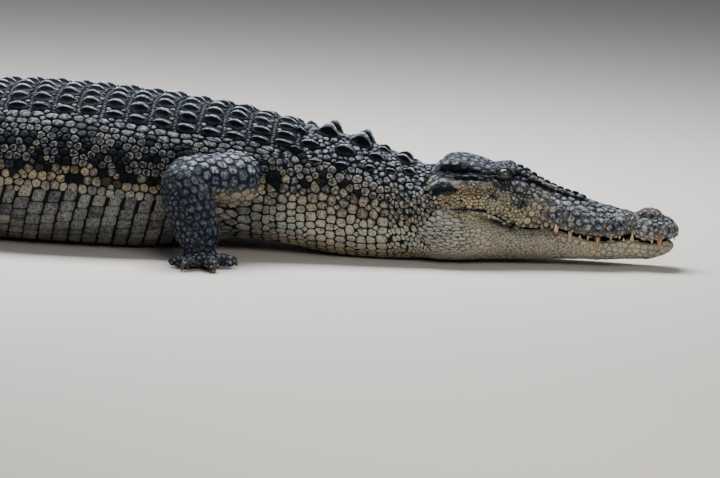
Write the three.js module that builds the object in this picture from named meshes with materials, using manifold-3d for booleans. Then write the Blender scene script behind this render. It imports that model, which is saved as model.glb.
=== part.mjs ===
// A life-size saltwater crocodile, lying on its belly with its chest propped on straight forearms.
// Millimetres. +X runs from tail to snout, +Y to the animal's left and +Z up, and the floor is z = 0.
import * as THREE from "three";
import { mergeVertices } from "three/addons/utils/BufferGeometryUtils.js";
import Module from "manifold-3d";

const wasm = await Module();
wasm.setup();

// ---- Driving dimensions -------------------------------------------------------------------------
const HEAD_LENGTH = 600; // back of the skull table to the tip of the snout
const TAIL_TIP = 3600; // back of the skull table to the tip of the tail, along the spine
const HEAD_PITCH = THREE.MathUtils.degToRad(2.2); // how far the chin is lifted
const NECK_START = 2; // distance behind the skull table, along the spine
const TRUNK_START = 400;
const TAIL_START = 1470;
const PART_GAP = 0.5; // clear space at every cut between two lengths
const SLIVER = 0.4; // slivers flatter than this are taken out of joined surfaces
const FIT_GAP = 1.4; // how far a piece is swollen to cut its neighbour clear of it

const SKIN = { color: 0x4b5148, roughness: 0.62, metalness: 0 };
const PALE_SKIN = { color: 0x9a927b, roughness: 0.66, metalness: 0 };
const CLAW_HORN = { color: 0x2a2622, roughness: 0.4, metalness: 0 };
const EYE_WET = { color: 0x5d6147, roughness: 0.12, metalness: 0 };

// The spine seen from above turns by these many degrees (left is positive, walking from neck to tail).
const SPINE_TURNS = [
  { from: 0, to: 420, degrees: 6 },
  { from: 1350, to: 2150, degrees: -16 },
  { from: 2150, to: 3000, degrees: 34 },
  { from: 3000, to: 3600, degrees: -30 },
];

// Outline of neck, trunk and tail. `behind` is the distance from the skull along the spine, `waist` the
// share of the height at which a section is widest, and a power of 2 is an ellipse, a higher one squarer.
const BODY_COLUMNS = ["behind", "halfWidth", "top", "bottom", "waist", "upperPower", "lowerPower"];
const BODY = [
  [0, 146, 228, 4, 0.46, 2.0, 2.4],
  [60, 163, 232, -3, 0.44, 2.0, 2.4],
  [140, 168, 262, -5, 0.42, 2.0, 2.4],
  [250, 172, 294, -2, 0.42, 2.0, 2.4],
  [370, 188, 318, 16, 0.42, 2.0, 2.4],
  [490, 216, 338, 24, 0.4, 2.1, 2.4],
  [610, 246, 352, 10, 0.38, 2.2, 2.4],
  [730, 272, 363, -7, 0.37, 2.3, 2.4],
  [880, 292, 373, -8, 0.36, 2.3, 2.4],
  [1060, 298, 376, -8, 0.36, 2.3, 2.4],
  [1250, 276, 364, -8, 0.36, 2.3, 2.4],
  [1400, 232, 334, -6, 0.38, 2.2, 2.4],
  [1500, 190, 308, -5, 0.4, 2.1, 2.4],
  [1650, 158, 276, -4, 0.41, 2.1, 2.4],
  [1900, 124, 236, -4, 0.42, 2.0, 2.4],
  [2200, 95, 196, -4, 0.42, 2.0, 2.4],
  [2600, 68, 150, -4, 0.42, 2.0, 2.4],
  [3000, 46, 108, -3, 0.42, 2.0, 2.4],
  [3350, 27, 66, -3, 0.43, 2.0, 2.3],
  [3600, 7, 20, -2, 0.45, 2.0, 2.2],
];

// Upper head, from behind the skull table (0) to the snout tip. Each section runs over the top middle,
// the edge of the table or brow, the side, and the lip. Widths are half widths.
const HEAD_COLUMNS = [
  "forward", "topZ", "tableW", "tableZ", "sideW", "sideZ", "lipW", "lipZ",
];
const HEAD = [
  [-58, 157, 60, 153, 104, 135, 104, 116],
  [-22, 221, 74, 213, 124, 173, 132, 124],
  [8, 241, 82, 247, 126, 192, 144, 127],
  [50, 245, 80, 254, 122, 195, 145, 129],
  [95, 238, 73, 245, 115, 190, 141, 129],
  [132, 226, 64, 234, 108, 182, 133, 120],
  [166, 216, 60, 238, 101, 177, 123, 104],
  [196, 210, 53, 224, 96, 169, 113, 94],
  [232, 201, 45, 204, 90, 155, 102, 91],
  [290, 177, 37, 176, 79, 139, 90, 89],
  [340, 158, 36, 156, 74, 124, 86, 78],
  [395, 140, 35, 137, 70, 111, 83, 69],
  [445, 128, 32, 125, 57, 100, 65, 65],
  [482, 123, 28, 120, 45, 95, 49, 65],
  [520, 127, 31, 125, 51, 91, 58, 57],
  [556, 118, 29, 114, 48, 85, 55, 54],
  [582, 103, 20, 99, 35, 80, 42, 55],
  [597, 83, 9, 82, 17, 74, 20, 59],
];

// Lower jaw, from the bulge of the jaw muscles to the chin.
const JAW_COLUMNS = ["forward", "halfWidth", "top", "bottom", "waist", "upperPower", "lowerPower"];
const JAW = [
  [-72, 112, 130, 22, 0.5, 2.0, 2.0],
  [-40, 152, 154, 4, 0.5, 2.1, 2.2],
  [20, 171, 166, -2, 0.48, 2.3, 2.3],
  [80, 160, 152, -1, 0.5, 2.5, 2.3],
  [112, 144, 129, 0, 0.55, 3.0, 2.3],
  [165, 119, 100, 0, 0.62, 3.2, 2.4],
  [215, 103, 89, 0, 0.64, 3.4, 2.5],
  [290, 85, 84, 0, 0.64, 3.4, 2.6],
  [340, 80, 74, 0, 0.62, 3.4, 2.6],
  [395, 72, 65, 0, 0.6, 3.4, 2.6],
  [445, 62, 61, 0, 0.6, 3.4, 2.6],
  [482, 55, 60, 0, 0.6, 3.2, 2.5],
  [525, 51, 53, 2, 0.6, 3.0, 2.4],
  [556, 44, 50, 9, 0.6, 2.8, 2.3],
  [576, 30, 49, 19, 0.6, 2.4, 2.2],
  [586, 15, 44, 29, 0.6, 2.2, 2.0],
];

const EYE = { forward: 167, side: 61, height: 217, radius: 18 };

// Teeth: `forward` is where each stands along the jaw, `drop` its length and `root` its half width.
const UPPER_TEETH = [
  [585, 13, 5], [568, 16, 6], [548, 21, 7], [528, 24, 8], [505, 14, 6], [456, 13, 6], [432, 19, 7],
  [406, 27, 9], [378, 22, 8], [350, 15, 6], [322, 14, 6], [292, 18, 7], [262, 15, 6], [232, 12, 6],
];
const LOWER_TEETH = [[566, 16, 6], [484, 26, 8]];

// Limbs, for the right side; the left side mirrors them in y. Places are [x, y, z] with x measured
// forward from the shoulder or hip, and y outward from the spine. Girths are [share, wide, deep].
const SHOULDER_BEHIND = 492;
const HIP_BEHIND = 1392;
const FORE = {
  shoulder: [14, 172, 196],
  elbow: [-105, 320, 214],
  wrist: [-32, 362, 50],
  armGirth: [[0, 70, 80], [0.5, 60, 68], [1, 52, 54]],
  forearmGirth: [[0, 54, 58], [0.35, 64, 62], [0.7, 62, 52], [1, 45, 40]],
  palm: { heel: [-36, 356, 25], knuckles: [-25, 396, 17], wide: 45, deep: 22 },
  // Each digit: root, middle joint and tip, then the half width at its root and tip.
  digits: [
    { path: [[-6, 374, 22], [22, 362, 21], [48, 350, 14]], root: 18, tip: 15 },
    { path: [[-10, 396, 22], [6, 424, 22], [20, 446, 13]], root: 18, tip: 14 },
    { path: [[-34, 402, 21], [-48, 430, 21], [-58, 454, 11]], root: 17, tip: 12 },
    { path: [[-54, 392, 19], [-84, 396, 19], [-108, 394, 10]], root: 15, tip: 10 },
    { path: [[-62, 372, 18], [-92, 364, 16], [-114, 352, 9]], root: 14, tip: 9 },
  ],
  clawed: 3,
};
const HIND = {
  hip: [0, 128, 160],
  knee: [150, 338, 168],
  ankle: [-58, 408, 52],
  thighGirth: [[0, 92, 108], [0.5, 78, 92], [1, 58, 66]],
  shankGirth: [[0, 60, 68], [0.35, 58, 66], [0.8, 38, 44], [1, 36, 40]],
  palm: { heel: [-78, 404, 27], knuckles: [28, 452, 20], wide: 50, deep: 24 },
  digits: [
    { path: [[20, 424, 22], [86, 426, 22], [140, 430, 10]], root: 17, tip: 10 },
    { path: [[30, 446, 20], [100, 470, 22], [164, 490, 10]], root: 18, tip: 10 },
    { path: [[22, 470, 20], [84, 510, 20], [140, 544, 9]], root: 17, tip: 9 },
    { path: [[6, 488, 18], [52, 534, 17], [96, 572, 7]], root: 14, tip: 7 },
  ],
  clawed: 3,
};
const CLAW = { length: 26, radius: 7.5, overlap: 6, droop: 0.34 };

// Raised crests: the tail's two rows close in until they meet, and one row runs on to the tip.
const CREST = { start: 40, spacing: 62, thickness: 7, doubleRows: 16, firstRow: 3, lean: 0.42 };

// The tail is parted between two crest rows, before each of these rows.
const TAIL_CUT_ROWS = [6, 12, 18, 24, 29];
const TAIL_STEPS = 4; // steps along the skin of each length
const NUCHAL = [
  // behind, side, length, width, height: the four big neck shields with two smaller ones outside
  [204, 27, 64, 36, 36],
  [286, 29, 64, 38, 34],
  [232, 94, 52, 30, 22],
];

// ---- Curves and sections ------------------------------------------------------------------------

// Smooth values between the rows of a table, by the names of its columns.
function smoothTable(columns, rows) {
  const at = rows.map((row) => row[0]);
  const curve = new THREE.CubicInterpolant(at, rows.flat(), columns.length);
  return (where) => {
    const values = curve.evaluate(THREE.MathUtils.clamp(where, at[0], at[at.length - 1]));
    return Object.fromEntries(columns.map((name, i) => [name, values[i]]));
  };
}
const bodyAt = smoothTable(BODY_COLUMNS, BODY);
const headAt = smoothTable(HEAD_COLUMNS, HEAD);
const jawAt = smoothTable(JAW_COLUMNS, JAW);

// The spine's path on the floor plan, walked in short steps from the skull to the tail.
const SPINE_STEP = 10;
function walkSpine() {
  const headingAt = (behind) =>
    SPINE_TURNS.reduce((sum, turn) => {
      const share = THREE.MathUtils.smoothstep(behind, turn.from, turn.to);
      return sum + THREE.MathUtils.degToRad(turn.degrees) * share;
    }, 0);
  const straighten = headingAt(SHOULDER_BEHIND); // the shoulders look along +X
  const nodes = [{ x: 0, y: 0, heading: -headingAt(0) + straighten }];
  for (let behind = SPINE_STEP; behind <= TAIL_TIP; behind += SPINE_STEP) {
    const last = nodes[nodes.length - 1];
    const heading = straighten - headingAt(behind);
    const x = last.x - Math.cos(heading) * SPINE_STEP;
    const y = last.y - Math.sin(heading) * SPINE_STEP;
    nodes.push({ x, y, heading });
  }
  return nodes;
}
const SPINE = walkSpine();
function spineAt(behind) {
  const place = THREE.MathUtils.clamp(behind / SPINE_STEP, 0, SPINE.length - 1.001);
  const [a, b] = [SPINE[Math.floor(place)], SPINE[Math.floor(place) + 1]];
  const mix = (name) => THREE.MathUtils.lerp(a[name], b[name], place % 1);
  return { x: mix("x"), y: mix("y"), heading: mix("heading") };
}

// A point beside the spine: `side` is towards the animal's left.
function besideSpine(behind, side, z) {
  const { x, y, heading } = spineAt(behind);
  return new THREE.Vector3(x - Math.sin(heading) * side, y + Math.cos(heading) * side, z);
}

// A rounded section: an upper and a lower half of a superellipse that meet at the waist.
function roundedSection(shape, angle) {
  const { halfWidth, top, bottom, waist, upperPower, lowerPower } = shape;
  const [cos, sin] = [Math.cos(angle), Math.sin(angle)];
  const power = sin > 0 ? upperPower : lowerPower;
  const middle = bottom + (top - bottom) * waist;
  const reach = sin > 0 ? top - middle : middle - bottom;
  const side = halfWidth * Math.sign(cos) * Math.abs(cos) ** (2 / power);
  const z = middle + reach * Math.sign(sin) * Math.abs(sin) ** (2 / power);
  return { side, z };
}

// ---- Solids -------------------------------------------------------------------------------------

function toSolid(geometry) {
  const bare = geometry.clone();
  bare.deleteAttribute("normal");
  bare.deleteAttribute("uv");
  const merged = mergeVertices(bare, 1e-3);
  const solid = new wasm.Manifold(
    new wasm.Mesh({
      numProp: 3,
      vertProperties: new Float32Array(merged.attributes.position.array),
      triVerts: new Uint32Array(merged.index.array),
    }),
  );
  if (solid.volume() > 0) return solid;
  const flipped = new Uint32Array(merged.index.array);
  for (let i = 0; i < flipped.length; i += 3) {
    [flipped[i + 1], flipped[i + 2]] = [flipped[i + 2], flipped[i + 1]];
  }
  return new wasm.Manifold(
    new wasm.Mesh({
      numProp: 3,
      vertProperties: new Float32Array(merged.attributes.position.array),
      triVerts: flipped,
    }),
  );
}

// A skin stretched over a cylinder's grid: `place(along, angle)` gives each point, along from 0 to 1.
function sweptSkin(sides, steps, place) {
  const geometry = new THREE.CylinderGeometry(1, 1, 1, sides, steps);
  const position = geometry.attributes.position;
  const middles = [0, 1].map((along) => {
    const sum = new THREE.Vector3();
    for (let i = 0; i < sides; i += 1) sum.add(place(along, (i / sides) * 2 * Math.PI));
    return sum.divideScalar(sides);
  });
  for (let i = 0; i < position.count; i += 1) {
    const across = Math.hypot(position.getX(i), position.getZ(i));
    const along = position.getY(i) + 0.5;
    const turn = Math.round((Math.atan2(position.getZ(i), position.getX(i)) / (2 * Math.PI)) * sides);
    const angle = (((turn + sides) % sides) / sides) * 2 * Math.PI;
    const point = across < 0.5 ? middles[Math.round(along)] : place(along, angle);
    position.setXYZ(i, point.x, point.y, point.z);
  }
  return toSolid(geometry);
}

const FLOOR_ROOM = 9000;
const aboveFloor = toSolid(
  new THREE.BoxGeometry(FLOOR_ROOM, FLOOR_ROOM, FLOOR_ROOM).translate(0, 0, FLOOR_ROOM / 2),
);
const onFloor = (solid) => solid.intersect(aboveFloor);

// The same solid, pushed outward a little along its normals, to cut a neighbour clear of it.
function swollen(solid, by) {
  const mesh = solid.getMesh();
  const geometry = new THREE.BufferGeometry();
  geometry.setAttribute("position", new THREE.BufferAttribute(mesh.vertProperties.slice(), 3));
  geometry.setIndex(new THREE.BufferAttribute(mesh.triVerts.slice(), 1));
  geometry.computeVertexNormals();
  const { position, normal } = geometry.attributes;
  for (let i = 0; i < position.count; i += 1) {
    position.setXYZ(
      i,
      position.getX(i) + normal.getX(i) * by,
      position.getY(i) + normal.getY(i) * by,
      position.getZ(i) + normal.getZ(i) * by,
    );
  }
  return toSolid(geometry);
}

// The largest of the bodies that a cut leaves, so that no crumb stays behind.
function mainBody(solid) {
  return solid.decompose().reduce((best, body) => (body.volume() > best.volume() ? body : best));
}

// ---- Neck, trunk and tail -----------------------------------------------------------------------

function bodyLength(from, to, sides, steps) {
  const [start, end] = [from + PART_GAP / 2, to - PART_GAP / 2];
  const place = (along, angle) => {
    const behind = THREE.MathUtils.lerp(start, end, along);
    const { side, z } = roundedSection(bodyAt(behind), angle);
    return besideSpine(behind, side, z);
  };
  return sweptSkin(sides, steps, place);
}

// A blade that stands along the spine, leaning back like a crest scute.
function crestBlade(behind, side, length, height, thickness) {
  const { heading } = spineAt(behind);
  const root = bodyAt(behind);
  const rise = Math.sqrt(Math.max(0, 1 - (side / root.halfWidth) ** 2));
  const foot = root.bottom + (root.top - root.bottom) * (root.waist + (1 - root.waist) * rise);
  const profile = new THREE.Shape([
    new THREE.Vector2(length * 0.5, -12),
    new THREE.Vector2(-length * CREST.lean, height),
    new THREE.Vector2(-length * 0.5, -12),
  ]);
  const blade = new THREE.ExtrudeGeometry(profile, { depth: thickness, bevelEnabled: false });
  blade.translate(0, 0, -thickness / 2).rotateX(Math.PI / 2).rotateZ(heading);
  const place = besideSpine(behind, side, foot);
  return toSolid(blade.translate(place.x, place.y, place.z));
}

// How far behind the skull a crest row's middle stands.
const crestRow = (row) => TAIL_START + CREST.start + row * CREST.spacing;

// The crest blades whose middles lie between two distances along the spine.
function crestBlades(from, to) {
  const blades = [];
  const count = Math.floor((TAIL_TIP - TAIL_START - 60) / CREST.spacing);
  for (let i = CREST.firstRow; i < count; i += 1) {
    const behind = crestRow(i);
    if (behind < from || behind > to) continue;
    const grown = i / CREST.doubleRows;
    if (i < CREST.doubleRows) {
      const side = bodyAt(behind).halfWidth * THREE.MathUtils.lerp(0.5, 0.16, grown);
      const height = THREE.MathUtils.lerp(16, 50, grown);
      for (const hand of [-1, 1]) {
        blades.push(crestBlade(behind, hand * side, CREST.spacing * 0.9, height, CREST.thickness));
      }
    } else {
      const height = THREE.MathUtils.lerp(62, 22, (i - CREST.doubleRows) / (count - CREST.doubleRows));
      blades.push(crestBlade(behind, 0, CREST.spacing * 0.92, height, CREST.thickness));
    }
  }
  return blades;
}

// A keeled neck shield: a low four-sided pyramid whose peak sits towards the back.
function nuchalShield([behind, side, length, width, height]) {
  const root = bodyAt(behind);
  const rise = Math.sqrt(Math.max(0, 1 - (side / root.halfWidth) ** 2));
  const foot = root.bottom + (root.top - root.bottom) * (root.waist + (1 - root.waist) * rise);
  const sink = 14;
  const cone = new THREE.ConeGeometry(Math.SQRT1_2, 1, 4, 1).rotateY(Math.PI / 4).rotateX(Math.PI / 2);
  cone.scale(length, width * 2, height + sink).translate(0, 0, (height + sink) / 2);
  const position = cone.attributes.position;
  for (let i = 0; i < position.count; i += 1) {
    if (position.getZ(i) > height) position.setX(i, position.getX(i) - length * 0.12);
  }
  const { heading } = spineAt(behind);
  const tilt = Math.asin(THREE.MathUtils.clamp(side / root.halfWidth, -1, 1));
  cone.rotateX(-tilt).rotateZ(heading);
  const place = besideSpine(behind, side, foot - sink);
  return toSolid(cone.translate(place.x, place.y, place.z));
}

function joined(solids) {
  return solids.reduce((all, solid) => all.add(solid)).simplify(SLIVER);
}

// ---- Head ---------------------------------------------------------------------------------------

// From head places (forward, left, up) to the part's frame.
function headMatrix() {
  const { heading } = spineAt(0);
  return new THREE.Matrix4()
    .makeRotationZ(heading)
    .multiply(new THREE.Matrix4().makeRotationY(-HEAD_PITCH));
}
const HEAD_FRAME = headMatrix();
const inHead = (forward, side, z) => new THREE.Vector3(forward, side, z).applyMatrix4(HEAD_FRAME);

function upperHeadPoint(forward, angle) {
  const row = headAt(forward);
  const half = [
    [row.tableW, row.tableZ],
    [row.sideW, row.sideZ],
    [row.lipW, row.lipZ + 11],
    [row.lipW - 9, row.lipZ],
  ];
  const loop = [
    [0, row.topZ],
    ...half,
    [0, row.lipZ + 5],
    ...half.map(([w, z]) => [-w, z]).reverse(),
  ].map(([w, z]) => new THREE.Vector3(w, z, 0));
  const curve = new THREE.CatmullRomCurve3(loop, true, "catmullrom", 0.5);
  const point = curve.getPoint(angle / (2 * Math.PI));
  return inHead(forward, point.x, point.y);
}

function upperHead(sides, steps) {
  const [back, tip] = [HEAD[0][0], HEAD_LENGTH - 1];
  return sweptSkin(sides, steps, (along, angle) => {
    // Stations crowd towards the round tip of the snout.
    const forward = back + (tip - back) * Math.sin((along * Math.PI) / 2) ** 1.15;
    return upperHeadPoint(forward, angle);
  });
}

function lowerJaw(sides, steps) {
  const [back, chin] = [JAW[0][0], JAW[JAW.length - 1][0]];
  return sweptSkin(sides, steps, (along, angle) => {
    const forward = back + (chin - back) * Math.sin((along * Math.PI) / 2) ** 1.15;
    const { side, z } = roundedSection(jawAt(forward), angle);
    return inHead(forward, side, z);
  });
}

function tooth(forward, side, z, length, root, up) {
  const cone = new THREE.ConeGeometry(root, length + 8, 4).rotateX(Math.PI / 2);
  if (!up) cone.rotateX(Math.PI);
  cone.translate(0, 0, (up ? 1 : -1) * ((length + 8) / 2 - 8));
  return toSolid(cone.translate(forward, side, z).applyMatrix4(HEAD_FRAME));
}

function toothRow(teeth, hand, up) {
  return teeth.map(([forward, length, root]) => {
    const [edge, z] = up
      ? [jawAt(forward).halfWidth - 3, jawAt(forward).top - 6]
      : [headAt(forward).lipW - 8, headAt(forward).lipZ + 3];
    return tooth(forward, hand * edge, z, length, root, up);
  });
}

function eyeball(hand) {
  const ball = new THREE.SphereGeometry(EYE.radius, 10, 7);
  const place = inHead(EYE.forward, hand * EYE.side, EYE.height);
  return toSolid(ball.translate(place.x, place.y, place.z));
}

// ---- Limbs --------------------------------------------------------------------------------------

// A limb's place in the part's frame: forward of the girdle, outward from the spine, and up.
function limbPlace(girdle, hand, [forward, out, z]) {
  const { heading } = spineAt(girdle);
  const root = besideSpine(girdle, hand * out, z);
  return root.add(new THREE.Vector3(Math.cos(heading) * forward, Math.sin(heading) * forward, 0));
}

function girthAt(girth, share) {
  const next = girth.findIndex(([at]) => at >= share);
  if (next <= 0) return girth[0].slice(1);
  const [[a, w0, d0], [b, w1, d1]] = [girth[next - 1], girth[next]];
  const mix = THREE.MathUtils.smoothstep(share, a, b);
  return [THREE.MathUtils.lerp(w0, w1, mix), THREE.MathUtils.lerp(d0, d1, mix)];
}

// A rounded length of limb between two joints. `wide` is the direction of its greater girth.
function limbLength(from, to, girth, wide, sides, steps) {
  const axis = to.clone().sub(from);
  const length = axis.length();
  axis.normalize();
  const across = wide.clone().addScaledVector(axis, -wide.dot(axis)).normalize();
  const deep = new THREE.Vector3().crossVectors(axis, across);
  const rounding = 0.2; // share of the length that each round end takes up
  return sweptSkin(sides, steps, (along, angle) => {
    const share = THREE.MathUtils.lerp(-0.18, 1.16, along);
    const end = Math.max(0, Math.abs(along - 0.5) - (0.5 - rounding)) / rounding;
    const shrink = Math.sqrt(Math.max(0.02, 1 - end * end));
    const [w, d] = girthAt(girth, THREE.MathUtils.clamp(share, 0, 1));
    return from
      .clone()
      .addScaledVector(axis, share * length)
      .addScaledVector(across, Math.cos(angle) * w * shrink)
      .addScaledVector(deep, Math.sin(angle) * d * shrink);
  });
}

function digit(path, root, tip) {
  const curve = new THREE.QuadraticBezierCurve3(
    path[0],
    path[1].clone().multiplyScalar(2).addScaledVector(path[0], -0.5).addScaledVector(path[2], -0.5),
    path[2],
  );
  const up = new THREE.Vector3(0, 0, 1);
  return sweptSkin(6, 3, (along, angle) => {
    const run = curve.getTangent(along).normalize();
    const across = new THREE.Vector3().crossVectors(run, up).normalize();
    const rise = new THREE.Vector3().crossVectors(across, run);
    const girth = THREE.MathUtils.lerp(root, tip, along) * (along > 0.98 ? 0.6 : 1);
    return curve
      .getPoint(along)
      .addScaledVector(across, Math.cos(angle) * girth)
      .addScaledVector(rise, Math.sin(angle) * girth * 0.9);
  });
}

// A claw: a curved cone that carries on from the end of a digit.
function claw(path, tip) {
  const run = path[2].clone().sub(path[1]).normalize();
  run.z = -CLAW.droop;
  run.normalize();
  const cone = new THREE.ConeGeometry(CLAW.radius, CLAW.length + CLAW.overlap, 5);
  cone.translate(0, (CLAW.length + CLAW.overlap) / 2 - CLAW.overlap, 0);
  const turn = new THREE.Quaternion().setFromUnitVectors(new THREE.Vector3(0, 1, 0), run);
  cone.applyQuaternion(turn).translate(path[2].x, path[2].y, path[2].z + tip * 0.2);
  return toSolid(cone);
}

function foot(plan, girdle, hand) {
  const at = (point) => limbPlace(girdle, hand, point);
  const { heel, knuckles, wide, deep } = plan.palm;
  const [from, to] = [at(heel), at(knuckles)];
  const across = new THREE.Vector3(0, 0, 1).cross(to.clone().sub(from));
  const girth = [[0, wide * 0.82, deep * 1.15], [1, wide, deep]];
  const palm = limbLength(from, to, girth, across, 8, 3);
  const digits = plan.digits.map(({ path, root, tip }) => digit(path.map(at), root, tip));
  return joined([palm, ...digits]);
}

// Everything that these shapes fill, with a little room around each.
const roomAround = (shapes) => joined(shapes.map((shape) => swollen(shape, FIT_GAP)));

// One leg's pieces, from the body outward, each cut clear of the one before it.
function leg(names, plan, joints, girths, girdle, hand, body) {
  const at = (point) => limbPlace(girdle, hand, point);
  const [root, bend, end] = joints.map(at);
  const upper = limbLength(root, bend, girths[0], new THREE.Vector3(0, 0, 1), 12, 6);
  const lower = limbLength(bend, end, girths[1], new THREE.Vector3(1, 0, 0), 12, 6);
  const nails = plan.digits.slice(0, plan.clawed).map(({ path, tip }) => claw(path.map(at), tip));
  const sole = foot(plan, girdle, hand).subtract(roomAround([lower, ...nails]));
  const pieces = [
    upper.subtract(body),
    lower.subtract(roomAround([upper])).subtract(body),
    sole.subtract(body),
    ...nails,
  ];
  return pieces.map((piece, i) => {
    const name = i < 3 ? names[i] : `${names[3]}_${i - 2}`;
    return [name, mainBody(onFloor(piece))];
  });
}

// ---- The animal ---------------------------------------------------------------------------------

function toMesh(name, solid, look) {
  const mesh = solid.getMesh();
  const geometry = new THREE.BufferGeometry();
  geometry.setAttribute("position", new THREE.BufferAttribute(mesh.vertProperties, 3));
  geometry.setIndex(new THREE.BufferAttribute(mesh.triVerts, 1));
  geometry.computeVertexNormals();
  const made = new THREE.Mesh(geometry, new THREE.MeshStandardMaterial(look));
  made.name = name;
  return made;
}

function build() {
  const group = new THREE.Group();
  const add = (name, solid, look) => group.add(toMesh(name, solid, look));

  // Head: the jaw and the eyes are cut out of the upper head, so that all of them fit together.
  const jawShapes = [lowerJaw(16, 14), ...[-1, 1].flatMap((hand) => toothRow(LOWER_TEETH, hand, true))];
  const headShape = upperHead(22, 19);
  const headTeeth = [-1, 1].flatMap((hand) => toothRow(UPPER_TEETH, hand, false));
  const [eyeRight, eyeLeft] = [-1, 1].map(eyeball);
  const head = joined([headShape, ...headTeeth]).subtract(roomAround([...jawShapes, eyeRight, eyeLeft]));
  add("head", mainBody(head), SKIN);
  add("lower_jaw", onFloor(joined(jawShapes)), PALE_SKIN);
  add("eye_left", eyeLeft, EYE_WET);
  add("eye_right", eyeRight, EYE_WET);

  // Neck with its big shields, trunk, and the tail in lengths with their crests.
  const shields = [-1, 1].flatMap((hand) =>
    NUCHAL.map(([behind, side, ...size]) => nuchalShield([behind, hand * side, ...size])),
  );
  const neck = bodyLength(NECK_START, TRUNK_START, 24, 5);
  const neckCut = joined([neck, ...shields]).subtract(roomAround([headShape, ...jawShapes]));
  add("neck", mainBody(onFloor(neckCut)), SKIN);
  const trunk = bodyLength(TRUNK_START, TAIL_START, 24, 11);
  add("trunk", onFloor(trunk), SKIN);
  const tailEnds = [TAIL_START, ...TAIL_CUT_ROWS.map((row) => crestRow(row - 0.5)), TAIL_TIP];
  const tailSides = (i) => Math.max(10, 16 - 2 * i); // the thinner the length, the fewer its sides
  const tail = tailEnds.slice(1).map((to, i) => bodyLength(tailEnds[i], to, tailSides(i), TAIL_STEPS));
  tail.forEach((length, i) => {
    const blades = crestBlades(tailEnds[i], tailEnds[i + 1]);
    add(`tail_${i + 1}`, onFloor(joined([length, ...blades])), SKIN);
  });

  // Legs.
  const core = roomAround([neck, trunk, tail[0]]);
  for (const [sideName, hand] of [["right", -1], ["left", 1]]) {
    const foreNames = ["upper_arm", "forearm", "hand"].map((n) => `fore_${sideName}_${n}`);
    const fore = leg(
      [...foreNames, `claw_fore_${sideName}`],
      FORE,
      [FORE.shoulder, FORE.elbow, FORE.wrist],
      [FORE.armGirth, FORE.forearmGirth],
      SHOULDER_BEHIND,
      hand,
      core,
    );
    const hindNames = ["thigh", "shank", "foot"].map((n) => `hind_${sideName}_${n}`);
    const hind = leg(
      [...hindNames, `claw_hind_${sideName}`],
      HIND,
      [HIND.hip, HIND.knee, HIND.ankle],
      [HIND.thighGirth, HIND.shankGirth],
      HIP_BEHIND,
      hand,
      core,
    );
    for (const [name, solid] of [...fore, ...hind]) {
      add(name, solid, name.startsWith("claw") ? CLAW_HORN : SKIN);
    }
  }

  // The origin is under the middle of the whole animal, on the floor.
  const box = new THREE.Box3().setFromObject(group);
  const middle = box.getCenter(new THREE.Vector3());
  group.position.set(-middle.x, -middle.y, -box.min.z);
  return group;
}

export default build();
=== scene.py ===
# %% [markdown]
# # A saltwater crocodile, life size, resting on its belly
#
# The animal lies with its chest and jaw on the ground and one straight foreleg beside it. Its solids
# come from the frame. Here they get their looks: one skin without a seam, more than ten thousand
# separate scales over it, teeth, eyes, claws and the crests of the neck and the tail.

import math

import bmesh
import bpy
import numpy as np
from mathutils import Matrix, Quaternion, Vector
from mathutils.bvhtree import BVHTree
from mathutils.kdtree import KDTree


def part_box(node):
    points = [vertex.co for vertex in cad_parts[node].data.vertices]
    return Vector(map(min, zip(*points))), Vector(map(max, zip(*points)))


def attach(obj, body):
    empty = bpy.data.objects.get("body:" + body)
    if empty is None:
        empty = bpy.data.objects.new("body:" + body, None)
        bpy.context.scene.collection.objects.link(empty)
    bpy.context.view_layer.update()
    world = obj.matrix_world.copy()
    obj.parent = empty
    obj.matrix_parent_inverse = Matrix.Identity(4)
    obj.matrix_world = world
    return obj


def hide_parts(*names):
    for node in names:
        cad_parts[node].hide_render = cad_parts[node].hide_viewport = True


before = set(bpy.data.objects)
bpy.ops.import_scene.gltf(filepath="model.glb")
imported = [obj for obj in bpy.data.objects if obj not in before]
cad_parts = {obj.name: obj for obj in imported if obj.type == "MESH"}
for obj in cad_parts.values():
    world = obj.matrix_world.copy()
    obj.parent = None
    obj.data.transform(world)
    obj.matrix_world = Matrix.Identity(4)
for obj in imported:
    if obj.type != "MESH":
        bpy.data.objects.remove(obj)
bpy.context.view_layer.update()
scene = bpy.context.scene

# %% [markdown]
# ## Smooth outlines from small tables
#
# The solids are faceted, so a skin copied from them would show flat faces. The skin is lofted again
# from the same few sections. Tables hold millimetres, as a maker's notes would, and all that is
# worked out from them is in metres, Blender's own unit. A curve through a table's rows takes, at each
# row, the mean of the slopes on its two sides, so it bends gently and never overshoots much.

# %% Curves through a table
MM = 1000  # millimetres in a metre
UP = np.array((0, 0, 1.0))


def hermite(t, here, slope_here, there, slope_there):
    """A curve from here to there that leaves and arrives with the given slopes."""
    start = (1 + 2 * t) * (1 - t) ** 2 * here + t * (1 - t) ** 2 * slope_here
    return start + t * t * (3 - 2 * t) * there - t * t * (1 - t) * slope_there


def smooth_table(rows, units=MM):
    rows = np.array(rows, float) / units
    at, values = rows[:, 0], rows[:, 1:]
    secant = np.diff(values, axis=0) / np.diff(at)[:, None]
    slope = np.vstack([secant[:1], (secant[:-1] + secant[1:]) / 2, secant[-1:]])

    def curve(where):
        where = np.clip(np.asarray(where, float), at[0], at[-1])
        i = np.clip(np.searchsorted(at, where, side="right") - 1, 0, len(at) - 2)
        span = (at[i + 1] - at[i])[..., None]
        t = (where - at[i])[..., None] / span
        return np.moveaxis(hermite(t, values[i], span * slope[i], values[i + 1], span * slope[i + 1]), -1, 0)

    return curve


def smooth(value, low, high):
    t = np.clip((value - low) / (high - low), 0, 1)
    return t * t * (3 - 2 * t)


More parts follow.
